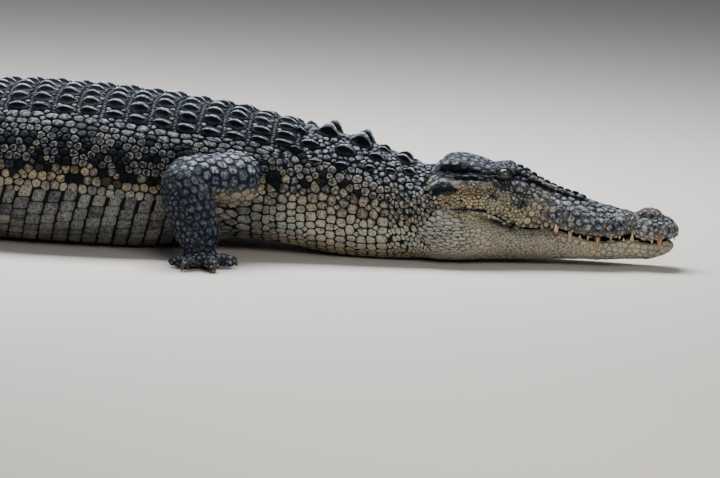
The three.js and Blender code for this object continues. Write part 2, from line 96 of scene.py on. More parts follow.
def band(value, low, high, soft):
    """1 between low and high, falling to 0 over soft on both sides."""
    return smooth(value, low - soft, low + soft) * (1 - smooth(value, high - soft, high + soft))


def swell(distance, at, width):
    """1 at one distance, falling off like a bell within a width."""
    return np.exp(-(((distance - at) / width) ** 2))


def unit(vectors):
    return vectors / np.maximum(np.linalg.norm(vectors, axis=-1, keepdims=True), 1e-12)


def full_turn(count):
    return np.linspace(0, 2 * math.pi, count, endpoint=False)


# %% The sections of the animal
SECTION_UNITS = (MM, MM, MM, MM, 1, 1, 1)  # four lengths, then plain numbers
# Neck, trunk and tail: distance behind the skull, half width, top, bottom, waist, two powers.
BODY = smooth_table([
    (0, 146, 228, 4, 0.46, 2, 2.4), (60, 163, 232, -3, 0.44, 2, 2.4), (140, 168, 262, -5, 0.42, 2, 2.4),
    (250, 172, 294, -2, 0.42, 2, 2.4), (370, 188, 318, 16, 0.42, 2, 2.4),
    (490, 216, 338, 24, 0.4, 2.1, 2.4), (610, 246, 352, 10, 0.38, 2.2, 2.4),
    (730, 272, 363, -7, 0.37, 2.3, 2.4), (880, 292, 373, -8, 0.36, 2.3, 2.4),
    (1060, 298, 376, -8, 0.36, 2.3, 2.4), (1250, 276, 364, -8, 0.36, 2.3, 2.4),
    (1400, 232, 334, -6, 0.38, 2.2, 2.4), (1500, 190, 308, -5, 0.4, 2.1, 2.4),
    (1650, 158, 276, -4, 0.41, 2.1, 2.4), (1900, 124, 236, -4, 0.42, 2, 2.4),
    (2200, 95, 196, -4, 0.42, 2, 2.4), (2600, 68, 150, -4, 0.42, 2, 2.4), (3000, 46, 108, -3, 0.42, 2, 2.4),
    (3350, 27, 66, -3, 0.43, 2, 2.3), (3600, 7, 20, -2, 0.45, 2, 2.2),
], SECTION_UNITS)
# Upper head: forward of the skull, top, table width and height, side width and height, lip.
HEAD = smooth_table([
    (-58, 157, 60, 153, 104, 135, 104, 116), (-22, 221, 74, 213, 124, 173, 132, 124),
    (8, 241, 82, 247, 126, 192, 144, 127), (50, 245, 80, 254, 122, 195, 145, 129),
    (95, 238, 73, 245, 115, 190, 141, 129), (132, 226, 64, 234, 108, 182, 133, 120),
    (166, 216, 60, 238, 101, 177, 123, 104), (196, 210, 53, 224, 96, 169, 113, 94),
    (232, 201, 45, 204, 90, 155, 102, 91), (290, 177, 37, 176, 79, 139, 90, 89),
    (340, 158, 36, 156, 74, 124, 86, 78), (395, 140, 35, 137, 70, 111, 83, 69),
    (445, 128, 32, 125, 57, 100, 65, 65), (482, 123, 28, 120, 45, 95, 49, 65),
    (520, 127, 31, 125, 51, 91, 58, 57), (556, 118, 29, 114, 48, 85, 55, 54),
    (582, 103, 20, 99, 35, 80, 42, 55), (597, 83, 9, 82, 17, 74, 20, 59),
])
# Lower jaw: forward of the skull, half width, top, bottom, waist, two powers.
JAW = smooth_table([
    (-72, 112, 130, 22, 0.5, 2, 2), (-40, 152, 154, 4, 0.5, 2.1, 2.2), (20, 171, 166, -2, 0.48, 2.3, 2.3),
    (80, 160, 152, -1, 0.5, 2.5, 2.3), (112, 144, 129, 0, 0.55, 3, 2.3), (165, 119, 100, 0, 0.62, 3.2, 2.4),
    (215, 103, 89, 0, 0.64, 3.4, 2.5), (290, 85, 84, 0, 0.64, 3.4, 2.6), (340, 80, 74, 0, 0.62, 3.4, 2.6),
    (395, 72, 65, 0, 0.6, 3.4, 2.6), (445, 62, 61, 0, 0.6, 3.4, 2.6), (482, 55, 60, 0, 0.6, 3.2, 2.5),
    (525, 51, 53, 2, 0.6, 3, 2.4), (556, 44, 50, 9, 0.6, 2.8, 2.3), (576, 30, 49, 19, 0.6, 2.4, 2.2),
    (586, 15, 44, 29, 0.6, 2.2, 2),
], SECTION_UNITS)
TAIL_START, TAIL_TIP = 1.47, 3.6
print("lengths: neck and trunk", TAIL_START, "m, tail", TAIL_TIP - TAIL_START, "m")

# %% [markdown]
# ## The spine and the head's own directions
#
# A crocodile at rest is never quite straight. The spine is walked on the floor plan in short steps,
# turning a little at the neck and more in the tail. The head has its own frame: forward, left, up,
# tipped up by two degrees. Both are hung on the frame's two eyes, so nothing here is placed by eye.

# %% Spine, and places beside it
SPINE_TURNS = [(0.0, 0.42, 6), (1.35, 2.15, -16), (2.15, 3.0, 34), (3.0, 3.6, -30)]
SHOULDER, HIP = 0.492, 1.392
HEAD_PITCH = math.radians(2.2)
EYE = np.array((0.167, 0.061, 0.217))
EYE_RADIUS = 0.0205


def turned(behind):
    return sum(math.radians(d) * smooth(behind, a, b) for a, b, d in SPINE_TURNS)


STEP = 0.01
steps_behind = np.arange(0, TAIL_TIP + STEP / 2, STEP)
headings = turned(SHOULDER) - turned(steps_behind)
walk = np.stack([-np.cos(headings), -np.sin(headings)], 1)[1:] * STEP
spine_line = np.vstack([[0, 0], np.cumsum(walk, axis=0)])
SKULL_HEADING = float(headings[0])
HEAD_TURN = np.array(Matrix.Rotation(SKULL_HEADING, 3, "Z") @ Matrix.Rotation(-HEAD_PITCH, 3, "Y"))
eye_mid = sum((Vector(corner) for n in ("eye_left", "eye_right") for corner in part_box(n)), Vector()) / 4
ORIGIN = np.array(eye_mid) - HEAD_TURN @ (EYE * (1, 0, 1))


def spine_at(behind):
    return [np.interp(behind, steps_behind, v) for v in (*spine_line.T, headings)]


def beside_spine(behind, side, z):
    x, y, heading = spine_at(behind)
    flat = np.stack([x - np.sin(heading) * side, y + np.cos(heading) * side, z + 0 * x], -1)
    return flat + ORIGIN


def in_head(forward, side, z):
    local = np.stack(np.broadcast_arrays(forward, side, z), -1).astype(float)
    return local @ HEAD_TURN.T + ORIGIN


def head_places(points):
    """Forward, left and up of points, in the head's own frame."""
    return ((points - ORIGIN) @ HEAD_TURN).T


print("skull looks", round(math.degrees(SKULL_HEADING), 1), "degrees off the shoulders' line")

# %% [markdown]
# ## The flesh, as overlapping lofts
#
# Under its hide the animal is a long barrel, a wedge of a skull, a heavy jaw and four legs. Each is
# a closed tube of sections. They only need to overlap: remeshing the heap into small even cells
# makes one closed surface of it, with no seam anywhere. Modelling one mesh by hand would give
# cleaner edge loops, but the hide hides those, and this way every form keeps its own simple rule.

# %% Closed tubes of sections
AROUND = 96


def rounded_section(shape, angle):
    """Side and height on a section made of two half superellipses that meet at the waist."""
    half_width, top, bottom, waist, upper, lower = shape
    middle = bottom + (top - bottom) * waist
    power = np.where(np.sin(angle) > 0, upper, lower)
    reach = np.where(np.sin(angle) > 0, top - middle, middle - bottom)
    side = half_width * np.sign(np.cos(angle)) * np.abs(np.cos(angle)) ** (2 / power)
    return side, middle + reach * np.sign(np.sin(angle)) * np.abs(np.sin(angle)) ** (2 / power)


def walls(rings, around):
    """Faces between rings of points that follow each other."""
    following = [*range(1, around), 0]
    return [
        (i * around + j, i * around + k, (i + 1) * around + k, (i + 1) * around + j)
        for i in range(rings - 1)
        for j, k in enumerate(following)
    ]


def fan(first, around, tip):
    """Triangles from a ring of points to one point."""
    return [(first + j, first + (j + 1) % around, tip) for j in range(around)]


def closed_tube(rings):
    """Vertices and faces of a tube through rings of points, with both ends closed by a fan."""
    count, around = rings.shape[:2]
    vertices = np.vstack([rings.reshape(-1, 3), rings[0].mean(0), rings[-1].mean(0)])
    start = [face[::-1] for face in fan(0, around, count * around)]
    return vertices, walls(count, around) + start + fan((count - 1) * around, around, count * around + 1)


flesh = []  # (part name, vertices, faces)


def add_flesh(part, rings):
    vertices, faces = closed_tube(rings)
    flesh.append((part, vertices, faces))


# %% Neck, trunk and tail
ring_places = np.arange(0.0, TAIL_TIP + 0.001, 0.012)[:, None]
angles = full_turn(AROUND)[None, :]
side, height = rounded_section(BODY(ring_places), angles)
add_flesh("body", beside_spine(ring_places, side, height))
print("body tube:", len(ring_places), "sections of", AROUND, "points")

# %% Upper head and jaw
def head_section(forward, count):
    """A closed smooth loop over the table, the brow, the side and the lip."""
    top, table_w, table_z, side_w, side_z, lip_w, lip_z = HEAD(forward)
    half = [(table_w, table_z), (side_w, side_z), (lip_w, lip_z + 0.011), (lip_w - 0.009, lip_z)]
    loop = [(0, top), *half, (0, lip_z + 0.005), *[(-w, z) for w, z in reversed(half)]]
    loop = np.array(loop, float)
    t = np.arange(count) * len(loop) / count
    i, u = np.floor(t).astype(int), (t % 1)[:, None]
    before, here, there, after = (loop[(i + k) % len(loop)] for k in (-1, 0, 1, 2))
    return hermite(u, here, (there - before) / 2, there, (after - here) / 2)


HEAD_ENDS, JAW_ENDS = (-0.058, 0.599), (-0.072, 0.586)
crowded = np.sin(np.linspace(0, 1, 110) * math.pi / 2) ** 1.15  # sections crowd towards the tip
sections = []
for forward in HEAD_ENDS[0] + (HEAD_ENDS[1] - HEAD_ENDS[0]) * crowded:
    loop = head_section(forward, AROUND)
    sections.append(in_head(forward, loop[:, 0], loop[:, 1]))
add_flesh("head", np.array(sections))
forward = (JAW_ENDS[0] + (JAW_ENDS[1] - JAW_ENDS[0]) * crowded)[:, None]
side, height = rounded_section(JAW(forward), angles)
add_flesh("jaw", in_head(forward, side, height))
print("head and jaw:", len(crowded), "sections each")

# %% [markdown]
# ## Legs
#
# A leg is two rounded lengths, a flat palm and its digits, five in front and four behind, the hind
# ones joined by a web. Joints are given for the right side, as distances forward from the shoulder
# or hip, outward from the spine and up, and the left side mirrors them.

# %% Leg plans
# upper and lower: share of the length, half width and half depth there. palm: its two ends, half
# width, half depth. digits: root, middle and tip, then the girths of the root and the tip.
FORE = {
    "girdle": SHOULDER, "name": "fore",
    "joints": [(14, 172, 196), (-105, 320, 214), (-32, 362, 50)],
    "upper": [(0, 70, 80), (0.5, 60, 68), (1, 52, 54)],
    "lower": [(0, 54, 58), (0.35, 64, 62), (0.7, 62, 52), (1, 49, 44)],
    "palm": [(-36, 356, 25), (-25, 396, 17), 45, 22],
    "digits": [
        ((-6, 374, 22), (22, 362, 21), (48, 350, 14), 21, 18),
        ((-10, 396, 22), (6, 424, 22), (20, 446, 13), 20, 16),
        ((-34, 402, 21), (-48, 430, 21), (-58, 454, 11), 19, 14),
        ((-54, 392, 19), (-84, 396, 19), (-108, 394, 10), 17, 13),
        ((-62, 372, 18), (-92, 364, 16), (-114, 352, 9), 16, 12),
    ],
    "webbed": 0.35,
}
HIND = {
    "girdle": HIP, "name": "hind",
    "joints": [(0, 128, 160), (150, 338, 168), (-58, 408, 52)],
    "upper": [(0, 92, 108), (0.5, 78, 92), (1, 58, 66)],
    "lower": [(0, 60, 68), (0.35, 58, 66), (0.8, 38, 44), (1, 36, 40)],
    "palm": [(-78, 404, 27), (28, 452, 20), 50, 24],
    "digits": [
        ((20, 424, 22), (86, 426, 22), (140, 430, 10), 17, 10),
        ((30, 446, 20), (100, 470, 22), (164, 490, 10), 18, 10),
        ((22, 470, 20), (84, 510, 20), (140, 544, 9), 17, 9),
        ((6, 488, 18), (52, 534, 17), (96, 572, 7), 14, 7),
    ],
    "webbed": 0.75,
}
CLAWED_DIGITS = 3


def limb_place(plan, hand, place):
    forward, out, z = np.array(place) / MM
    heading = float(spine_at(plan["girdle"])[2])
    root = beside_spine(np.array(plan["girdle"]), hand * out, z)
    return root + forward * np.array((math.cos(heading), math.sin(heading), 0))


def girth_at(girth, share):
    rows = np.array(girth, float) / (1, MM, MM)
    i = np.clip(np.searchsorted(rows[:, 0], share) - 1, 0, len(rows) - 2)
    mix = smooth(share, rows[i, 0], rows[i + 1, 0])[:, None]
    return (rows[i, 1:] * (1 - mix) + rows[i + 1, 1:] * mix).T


def ring_points(middle, across, over, wide, deep, around):
    """Rings round the points of a line, from their half widths and half depths."""
    turn = full_turn(around)
    beside = (wide[:, None] * np.cos(turn))[..., None] * np.reshape(across, (-1, 1, 3))
    return middle[:, None] + beside + (deep[:, None] * np.sin(turn))[..., None] * np.reshape(over, (-1, 1, 3))


def limb_rings(start, end, girth, wide):
    """A length of limb between two joints, its ends rounded; wide is its first girth's direction."""
    axis = end - start
    length = np.linalg.norm(axis)
    axis = axis / length
    across = unit(wide - axis * (wide @ axis))
    along = np.linspace(0, 1, 48)
    share = -0.18 + 1.34 * along  # past both joints, so that lengths overlap
    rounding = 0.2
    end_part = np.maximum(0, np.abs(along - 0.5) - (0.5 - rounding)) / rounding
    shrink = np.sqrt(np.maximum(0.02, 1 - end_part**2))
    half_wide, half_deep = girth_at(girth, np.clip(share, 0, 1)) * shrink
    middle = start + (share * length)[:, None] * axis
    return ring_points(middle, across, np.cross(axis, across), half_wide, half_deep, 48)


def digit_line(points, share):
    """The bent line of a digit that passes through its middle joint."""
    root, middle, tip = points
    knee = 2 * middle - 0.5 * root - 0.5 * tip
    t = np.asarray(share, float)[..., None]
    return (1 - t) ** 2 * root + 2 * t * (1 - t) * knee + t * t * tip


def digit_rings(points, root, tip):
    along = np.linspace(0, 1, 20)
    middle = digit_line(points, along)
    run = unit(np.gradient(middle, axis=0))
    across = unit(np.cross(run, UP))
    rise = np.cross(across, run)
    joints = 1 + 0.1 * np.cos(along * 4 * math.pi)  # knuckles
    girth = (root + (tip - root) * along) / MM * joints * np.sqrt(1 - smooth(along, 0.86, 1.04) ** 2)
    return ring_points(middle, across, rise, girth, girth * 0.9, 16)


def web_rings(first, second, reach):
    """The thin skin between two digits, from their roots out to a share of their length."""
    ground, half_thick = 0.012, 0.0042
    along = np.linspace(0, reach, 12)
    a, b = digit_line(first, along), digit_line(second, along)
    across = np.linspace(0, 1, 10)[None, :, None]
    sheet = a[:, None] * (1 - across) + b[:, None] * across
    sheet[..., 2] -= 0.25 * (sheet[..., 2] - ground)
    lift = UP * half_thick
    return np.concatenate([sheet + lift, (sheet - lift)[:, ::-1]], axis=1)


# %% Make the four legs
claw_roots = []  # (name of the claw's node, place, direction, girth)
LIMB_AXES = {}  # each length of leg: where it starts and ends
SIDES = (("right", -1), ("left", 1))


def make_leg(plan, side_name, hand):
    leg = f"{plan['name']}_{side_name}"
    root, bend, end = (limb_place(plan, hand, p) for p in plan["joints"])
    heel, knuckles = (limb_place(plan, hand, p) for p in plan["palm"][:2])
    wide, deep = plan["palm"][2:]
    palm = [(0, wide * 0.82, deep * 1.15), (1, wide, deep)]
    across = np.cross(UP, knuckles - heel)
    lengths = (
        ("upper", root, bend, plan["upper"], UP),
        ("lower", bend, end, plan["lower"], np.array((1.0, 0, 0))),
        ("foot", heel, knuckles, palm, across),
    )
    for name, start, stop, girth, width_direction in lengths:
        add_flesh(f"{leg}_{name}", limb_rings(start, stop, girth, width_direction))
        LIMB_AXES[f"{leg}_{name}"] = (start, stop)
    lines = [[limb_place(plan, hand, p) for p in digit[:3]] for digit in plan["digits"]]
    for line, digit in zip(lines, plan["digits"]):
        add_flesh(leg + "_foot", digit_rings(line, digit[3], digit[4]))
    for first, second in zip(lines, lines[1:]):
        add_flesh(leg + "_foot", web_rings(first, second, plan["webbed"]))
    for i in range(CLAWED_DIGITS):
        run = unit(lines[i][2] - lines[i][1])
        claw_roots.append((f"claw_{leg}_{i + 1}", lines[i][2], run, plan["digits"][i][4] / MM))


for plan in (FORE, HIND):
    for side_name, hand in SIDES:
        make_leg(plan, side_name, hand)
print("flesh:", len(flesh), "tubes,", len(claw_roots), "claws to come")

# %% [markdown]
# ## One skin
#
# All tubes go into one mesh, which is remeshed into four-millimetre cells. The skin lies a few
# millimetres inside the solids, because the scales stand on it. Where a leg leaves the body, the
# sharp corner is rubbed round, as thumbs would do it in clay, so that the hide runs on over it.

# %% Join, remesh and read the skin
CELL = 0.004
COAT_DEPTH = {"trunk": 0.004, "head": 0.0028, "leg": 0.003, "foot": 0.002}


def new_mesh(name, vertices, faces):
    mesh = bpy.data.meshes.new(name)
    mesh.from_pydata([tuple(v) for v in vertices], [], faces)
    mesh.update()
    return mesh


def new_object(name, data):
    made = bpy.data.objects.new(name, data)
    scene.collection.objects.link(made)
    return made


def applied(obj):
    """Applies what an object's modifiers make, and takes the modifiers off."""
    depsgraph = bpy.context.evaluated_depsgraph_get()
    mesh = bpy.data.meshes.new_from_object(obj.evaluated_get(depsgraph))
    old = obj.data
    obj.modifiers.clear()
    obj.data = mesh
    bpy.data.meshes.remove(old)
    return obj


def read_array(items, name, width, kind=np.float32):
    """One value, or a few, of every vertex, edge or corner of a mesh, as an array."""
    flat = np.empty(len(items) * width, kind)
    items.foreach_get(name, flat)
    return flat.reshape(-1, width)


def vertex_array(mesh):
    return read_array(mesh.vertices, "co", 3).astype(float)


def normal_array(mesh):
    return read_array(mesh.vertex_normals, "vector", 3).astype(float)


def edge_array(mesh):
    return read_array(mesh.edges, "vertices", 2, np.int32)


def set_vertices(mesh, points):
    mesh.vertices.foreach_set("co", points.astype(np.float32).ravel())
    mesh.update()


def set_values(mesh, name, values):
    layer = mesh.attributes.new(name, "FLOAT", "POINT")
    layer.data.foreach_set("value", np.asarray(values, np.float32))


def shade_smooth(mesh):
    mesh.polygons.foreach_set("use_smooth", np.ones(len(mesh.polygons), bool))


def set_map(mesh, map_places):
    """Lays every vertex at its place on the mesh's flat map."""
    corners = read_array(mesh.loops, "vertex_index", 1, np.int32)[:, 0]
    unwrap = mesh.uv_layers.new(name="OFBake")
    unwrap.data.foreach_set("uv", map_places[corners].astype(np.float32).ravel())


def tree_of(points):
    """A search tree of places, each under its own number."""
    tree = KDTree(len(points))
    for i, point in enumerate(points.tolist()):
        tree.insert(point, i)
    tree.balance()
    return tree


all_vertices, all_faces, face_part = [], [], []
start = 0
for part, vertices, faces in flesh:
    all_vertices.append(vertices)
    all_faces += [tuple(i + start for i in face) for face in faces]
    face_part += [part] * len(faces)
    start += len(vertices)
all_vertices = np.vstack(all_vertices)
skin = new_object("skin", new_mesh("skin", all_vertices, all_faces))
flesh_tree = BVHTree.FromPolygons([tuple(v) for v in all_vertices], all_faces)
remesh = skin.modifiers.new("cells", "REMESH")
remesh.mode = "VOXEL"
remesh.voxel_size = CELL
remesh.use_smooth_shade = True
applied(skin)
print("skin:", len(skin.data.vertices), "vertices after remeshing")

# %% [markdown]
# ## Rubbing the corners round
#
# Remeshing leaves faint steps, and corners where tubes cross. Each vertex is moved a little towards
# the mean of its neighbours, everywhere a few times, and many times within a hand's breadth of the
# lines where a leg meets the body or the jaw meets the neck.

# %% Neighbour averages
def edge_lengths(points, edges):
    return np.linalg.norm(points[edges[:, 0]] - points[edges[:, 1]], axis=1)


def rubbed(points, edges, strength, rounds):
    """Points that move a share of the way to the mean of their neighbours, several times."""
    a, b = edges.T
    count = len(points)
    links = np.bincount(a, minlength=count) + np.bincount(b, minlength=count)
    for _ in range(rounds):
        mean = np.empty_like(points)
        for axis in range(3):
            sums = np.bincount(a, points[b, axis], count) + np.bincount(b, points[a, axis], count)
            mean[:, axis] = sums / links
        points = points + (mean - points) * np.reshape(strength, (-1, 1))
    return points


def steps_from(starts, edges, lengths, rounds):
    """Distance along the mesh from the vertices that start at zero, as far as some rounds reach."""
    away = np.where(starts, 0.0, 1.0)
    a, b = edges.T
    for _ in range(rounds):
        np.minimum.at(away, a, away[b] + lengths)
        np.minimum.at(away, b, away[a] + lengths)
    return away


# %% Name every vertex's part and smooth the joints
GROUPS = ["body", "head", "jaw"] + [
    f"{which}_{side_name}_{length}"
    for which in ("fore", "hind")
    for side_name, _hand in SIDES
    for length in ("upper", "lower", "foot")
]
face_group = np.array([GROUPS.index(part) for part in face_part])
LIMB = 3  # the first group that belongs to a leg


def nearest_group(points):
    return face_group[[flesh_tree.find_nearest(p)[2] for p in points.tolist()]]


points = vertex_array(skin.data)
edges = edge_array(skin.data)
points = rubbed(points, edges, np.full(len(points), 0.5), 6)
group = nearest_group(points)
limb_of = np.where(group < LIMB, np.minimum(group, 1), 2 + (group - LIMB) // 3)
a, b = edges.T
corner = np.zeros(len(points), bool)
crossing = limb_of[a] != limb_of[b]
corner[a[crossing]] = True
corner[b[crossing]] = True
away = steps_from(corner, edges, edge_lengths(points, edges), 14)
points = rubbed(points, edges, 0.6 * (1 - smooth(away, 0.012, 0.05)), 34)
limb_part = (group - LIMB) % 3
inner = np.zeros(len(points), bool)
elbow = (group[a] != group[b]) & (limb_of[a] == limb_of[b])
inner[a[elbow]] = True
away_elbow = steps_from(inner, edges, edge_lengths(points, edges), 8)
points = rubbed(points, edges, 0.5 * (1 - smooth(away_elbow, 0.004, 0.026)), 10)
set_vertices(skin.data, points)
coat_depth = np.where(group >= 1, COAT_DEPTH["head"], COAT_DEPTH["trunk"])
coat_depth = np.where(group >= LIMB, COAT_DEPTH["leg"], coat_depth)
coat_depth = np.where((group >= LIMB) & (limb_part == 2), COAT_DEPTH["foot"], coat_depth)
normals = normal_array(skin.data)
on_back = (group == 0) * smooth(normals[:, 2], 0.25, 0.75)
coat_depth = coat_depth * (1 - 0.9 * on_back)  # hardly any under the back's thick shields
points = points - normals * coat_depth[:, None]
print("the skin lies inside the solids by", COAT_DEPTH, "m")

# %% [markdown]
# ## The face's big forms
#
# A crocodile's skull shows through its skin: a flat table with raised edges, a long hollow under
# each edge that hides the ear, a dome of bone over the eye, a lump in front of it, and two rows of
# knobs that run down the snout. Each is a stroke, as with a finger or a loop tool on clay: a short
# line in the head's frame, how wide it is, and how far it raises or cuts the surface.

# %% Strokes in the head's frame
# Each: the line's points (forward, side, up), its width, and its lift (negative cuts in).
STROKES = {
    "table edge": ([(-4, 76, 243), (45, 79, 253), (90, 73, 245), (136, 66, 233)], 10, 5),
    "table middle": ([(0, 0, 243), (60, 0, 245), (110, 0, 233)], 30, -3),
    "ear pit": ([(8, 92, 233), (60, 94, 234)], 14, -12),
    "ear slit": ([(50, 92, 236), (90, 88, 230), (134, 78, 222)], 5, -7.5),
    "ear flap": ([(62, 103, 219), (100, 97, 218), (132, 85, 216)], 5.5, 3.5),
    "under the flap": ([(30, 112, 212.5), (80, 108, 211), (134, 91, 208)], 3.6, -3.8),
    "cheek ridge": ([(-16, 116, 203), (47, 115, 205), (108, 101, 202), (150, 94, 199)], 8, 5),
    "dark bar": ([(-24, 116, 188), (40, 124, 190)], 8, 3.5),
    "under the bar": ([(-30, 122, 176), (55, 127, 178), (125, 112, 178)], 5, -4),
    "brow": ([(138, 60, 241), (163, 60, 249), (190, 52, 237)], 11, 8.5),
    "behind the brow": ([(134, 50, 236), (137, 70, 231)], 6, -3),
    "before the brow": ([(196, 52, 229), (203, 42, 226)], 8, -3),
    "lump before the eye": ([(198, 77, 199), (214, 73, 192)], 12, 8),
    "under the lump": ([(192, 90, 181), (228, 78, 177)], 7, -4.5),
    "hollow before the lump": ([(232, 58, 192), (285, 50, 170)], 9, -5),
    "recess behind the eye": ([(136, 108, 184), (142, 110, 172)], 7, -5),
    "cheek roll": ([(60, 135, 156), (110, 130, 152), (150, 121, 138)], 10, 3.5),
    "crease to the mouth": ([(40, 142, 143), (85, 140, 141), (120, 131, 138)], 4.5, -4),
    "ridge of knobs": ([(196, 50, 223), (250, 40, 197), (300, 33, 175), (355, 26, 152)], 8, 6),
    "between the ridges": ([(200, 0, 210), (300, 0, 176)], 22, -4),
    "big snout swelling": ([(325, 68, 118), (372, 66, 108)], 20, 5),
    "second swelling": ([(415, 60, 100), (440, 54, 96)], 16, 4.5),
    "between the swellings": ([(392, 50, 128), (394, 66, 100)], 7, -3.5),
    "notch": ([(482, 40, 110), (482, 46, 70)], 9, -8.5),
    "front swelling": ([(515, 44, 90), (560, 36, 82)], 18, 3),
    "round the nose": ([(508, 34, 113), (540, 38, 108), (572, 24, 105)], 8, -8.5),
    "nose": ([(510, 8, 130), (542, 10, 128)], 11, 4.8),
    "behind the nose": ([(484, 0, 124), (488, 22, 120)], 12, -5),
    "before the nose": ([(568, 0, 118), (562, 18, 114)], 10, -4.5),
    "jaw muscle": ([(10, 165, 85), (45, 160, 80)], 45, 3),
    "behind the jaw": ([(-40, 126, 165), (-52, 142, 120), (-40, 148, 75), (-10, 148, 30)], 8, -7),
}


def distance_to_line(places, line):
    """How far places lie from a line that is given in millimetres."""
    line = np.array(line, float) / MM
    best = np.full(len(places), np.inf)
    for start, end in zip(line, line[1:]):
        span = end - start
        t = np.clip((places - start) @ span / (span @ span), 0, 1)
        best = np.minimum(best, np.linalg.norm(places - start - t[:, None] * span, axis=1))
    return best


def folded_head(points):
    """Head places with both sides folded onto the left one."""
    forward, side, up = head_places(points)
    return np.stack([forward, np.abs(side), up], 1)


set_vertices(skin.data, points)
normals = normal_array(skin.data)
near_head = head_places(points)[0] > -0.12
places = folded_head(points[near_head])
lift = np.zeros(len(places))
for line, width, height in STROKES.values():
    lift += height / MM * swell(distance_to_line(places, line), 0, width / MM)
points[near_head] += normals[near_head] * lift[:, None]
set_vertices(skin.data, points)
print("face:", len(STROKES), "strokes lift it by", lift.max().round(4), "and cut", lift.min().round(4))

# %% [markdown]
# ## Lids, lips and nostrils
#
# These are finer than the cells, so the mesh is divided again just where they lie. The lids wrap
# the eyeball: seen from its centre, every point inside the almond of the opening goes behind the
# ball, and every point round it goes just in front, as a rim with a soft fold beyond. The mouth is
# a groove between the lips, from the corner under the eye to the tip.

# %% Divide the mesh where the small forms lie
EYE_OUT = unit(np.array((0.08, 0.9, 0.42)))
ahead = np.array((0.965, -0.17, -0.2))
EYE_ALONG = unit(ahead - EYE_OUT * (ahead @ EYE_OUT))
EYE_UP = np.cross(EYE_OUT, EYE_ALONG)
NOSTRIL = np.array((0.541, 0.013, 0.128))
MOUTH_CORNER = 0.116
# The line between the lips waves up and down past the big teeth: forward, height, how wide it gapes.
LIPS = smooth_table([
    (110, 141, 1.5), (131, 133, 1.8), (160, 119, 2), (184, 102, 2.2), (210, 90, 2.4), (245, 88, 2.6),
    (282, 90, 3), (329, 74, 2.6), (355, 66, 2.6), (390, 57, 3), (430, 56, 4.2), (460, 60, 6.2),
    (484, 60, 6.4), (508, 52, 3), (535, 51, 4.4), (565, 55, 4), (600, 57, 2.4),
])


def mouth_line(forward):
    return LIPS(forward)[0]


def mouth_gape(forward):
    return LIPS(forward)[1]


def at_mouth(places, reach):
    forward, _side, up = places.T
    return (forward > MOUTH_CORNER - reach) & (np.abs(up - mouth_line(forward)) < reach)


def divide(mesh, chosen):
    """Cuts the faces whose middles are chosen into four each."""
    bm = bmesh.new()
    bm.from_mesh(mesh)
    middles = np.array([face.calc_center_median() for face in bm.faces])
    picked = chosen(folded_head(middles))
    bm.faces.ensure_lookup_table()
    cut = {edge for i in np.flatnonzero(picked) for edge in bm.faces[i].edges}
    cut = sorted(cut, key=lambda edge: edge.index)
    bmesh.ops.subdivide_edges(bm, edges=cut, cuts=1, use_grid_fill=True)
    bm.to_mesh(mesh)
    bm.free()
    mesh.update()
    return int(picked.sum())


def near_features(places, from_lids, from_nostril):
    at_lids = np.linalg.norm(places - lid_middle, axis=1) < from_lids
    return at_lids | (np.linalg.norm(places - NOSTRIL, axis=1) < from_nostril)


lid_middle = EYE + EYE_OUT * EYE_RADIUS
first = divide(skin.data, lambda p: near_features(p, 0.032, 0.018) | at_mouth(p, 0.011))
second = divide(skin.data, lambda p: near_features(p, 0.025, 0.014))
print("divided", first, "and then", second, "faces")

# %% Wrap the lids, cut the mouth and the nostrils
OPENING = (0.029, 0.0126)  # half length and half height of the eye's opening
LID = 0.0013


def opening_distance(places):
    """How far each direction from the eyeball's centre lies outside the almond, negative inside."""
    local = places - EYE
    ahead, up, out = local @ EYE_ALONG, local @ EYE_UP, local @ EYE_OUT
    angle = np.arctan2(np.hypot(ahead, up), out)
    arc = EYE_RADIUS * angle / np.maximum(np.hypot(ahead, up), 1e-9)
    x, y = ahead * arc / OPENING[0], up * arc / OPENING[1]
    almond = np.sqrt(np.abs(x) ** 1.7 + (y / np.maximum(1 - 0.32 * x * x, 0.4)) ** 2 + 1e-12)
    return np.hypot(ahead, up) * arc * (1 - 1 / almond)


points = vertex_array(skin.data)
forward, side, up = head_places(points)
hand = np.sign(side)
places = folded_head(points)
near = (np.linalg.norm(places - EYE, axis=1) < 0.048) & (((places - EYE) @ EYE_OUT) > -0.004)
local = places[near] - EYE
radius = np.linalg.norm(local, axis=1)
outside = opening_distance(places[near])
rim = EYE_RADIUS + LID + 0.0008 * swell(outside, 0.0022, 0.0016)
rim -= 0.0012 * swell(outside, 0.0062, 0.0018)
above = smooth(local @ EYE_UP / radius, 0.05, 0.45)  # the upper lid is thick, with a fold over it
rim += above * (0.0024 * swell(outside, 0.0034, 0.003) - 0.003 * swell(outside, 0.0095, 0.002))
lid = rim + (radius - rim) * smooth(outside, 0.005 + 0.005 * above, 0.016 + 0.003 * above)
edge = smooth(outside, -0.0009, 0.0005)
target = (EYE_RADIUS - 0.003) * (1 - edge) + lid * edge  # the opening's skin lies 3 mm inside the ball
places[near] = EYE + local * (target / radius)[:, None]
points = in_head(places[:, 0], places[:, 1] * hand, places[:, 2])
set_vertices(skin.data, points)
normals = normal_array(skin.data)
places = folded_head(points)
off_line = places[:, 2] - mouth_line(places[:, 0])
from_corner = smooth(places[:, 0], MOUTH_CORNER - 0.006, MOUTH_CORNER + 0.03)
lipped = from_corner * (places[:, 1] > 0.012)
gape = mouth_gape(places[:, 0])
beyond = (np.abs(off_line) - gape) / 0.0035
groove = -(0.004 + 0.9 * gape) * np.exp(-((off_line / gape) ** 4)) + 0.0016 * swell(beyond, 1.0, 1.0)
crescent = [(533, 7, 131), (543, 11, 129), (549, 19, 123)]
from_crescent = distance_to_line(places, crescent)
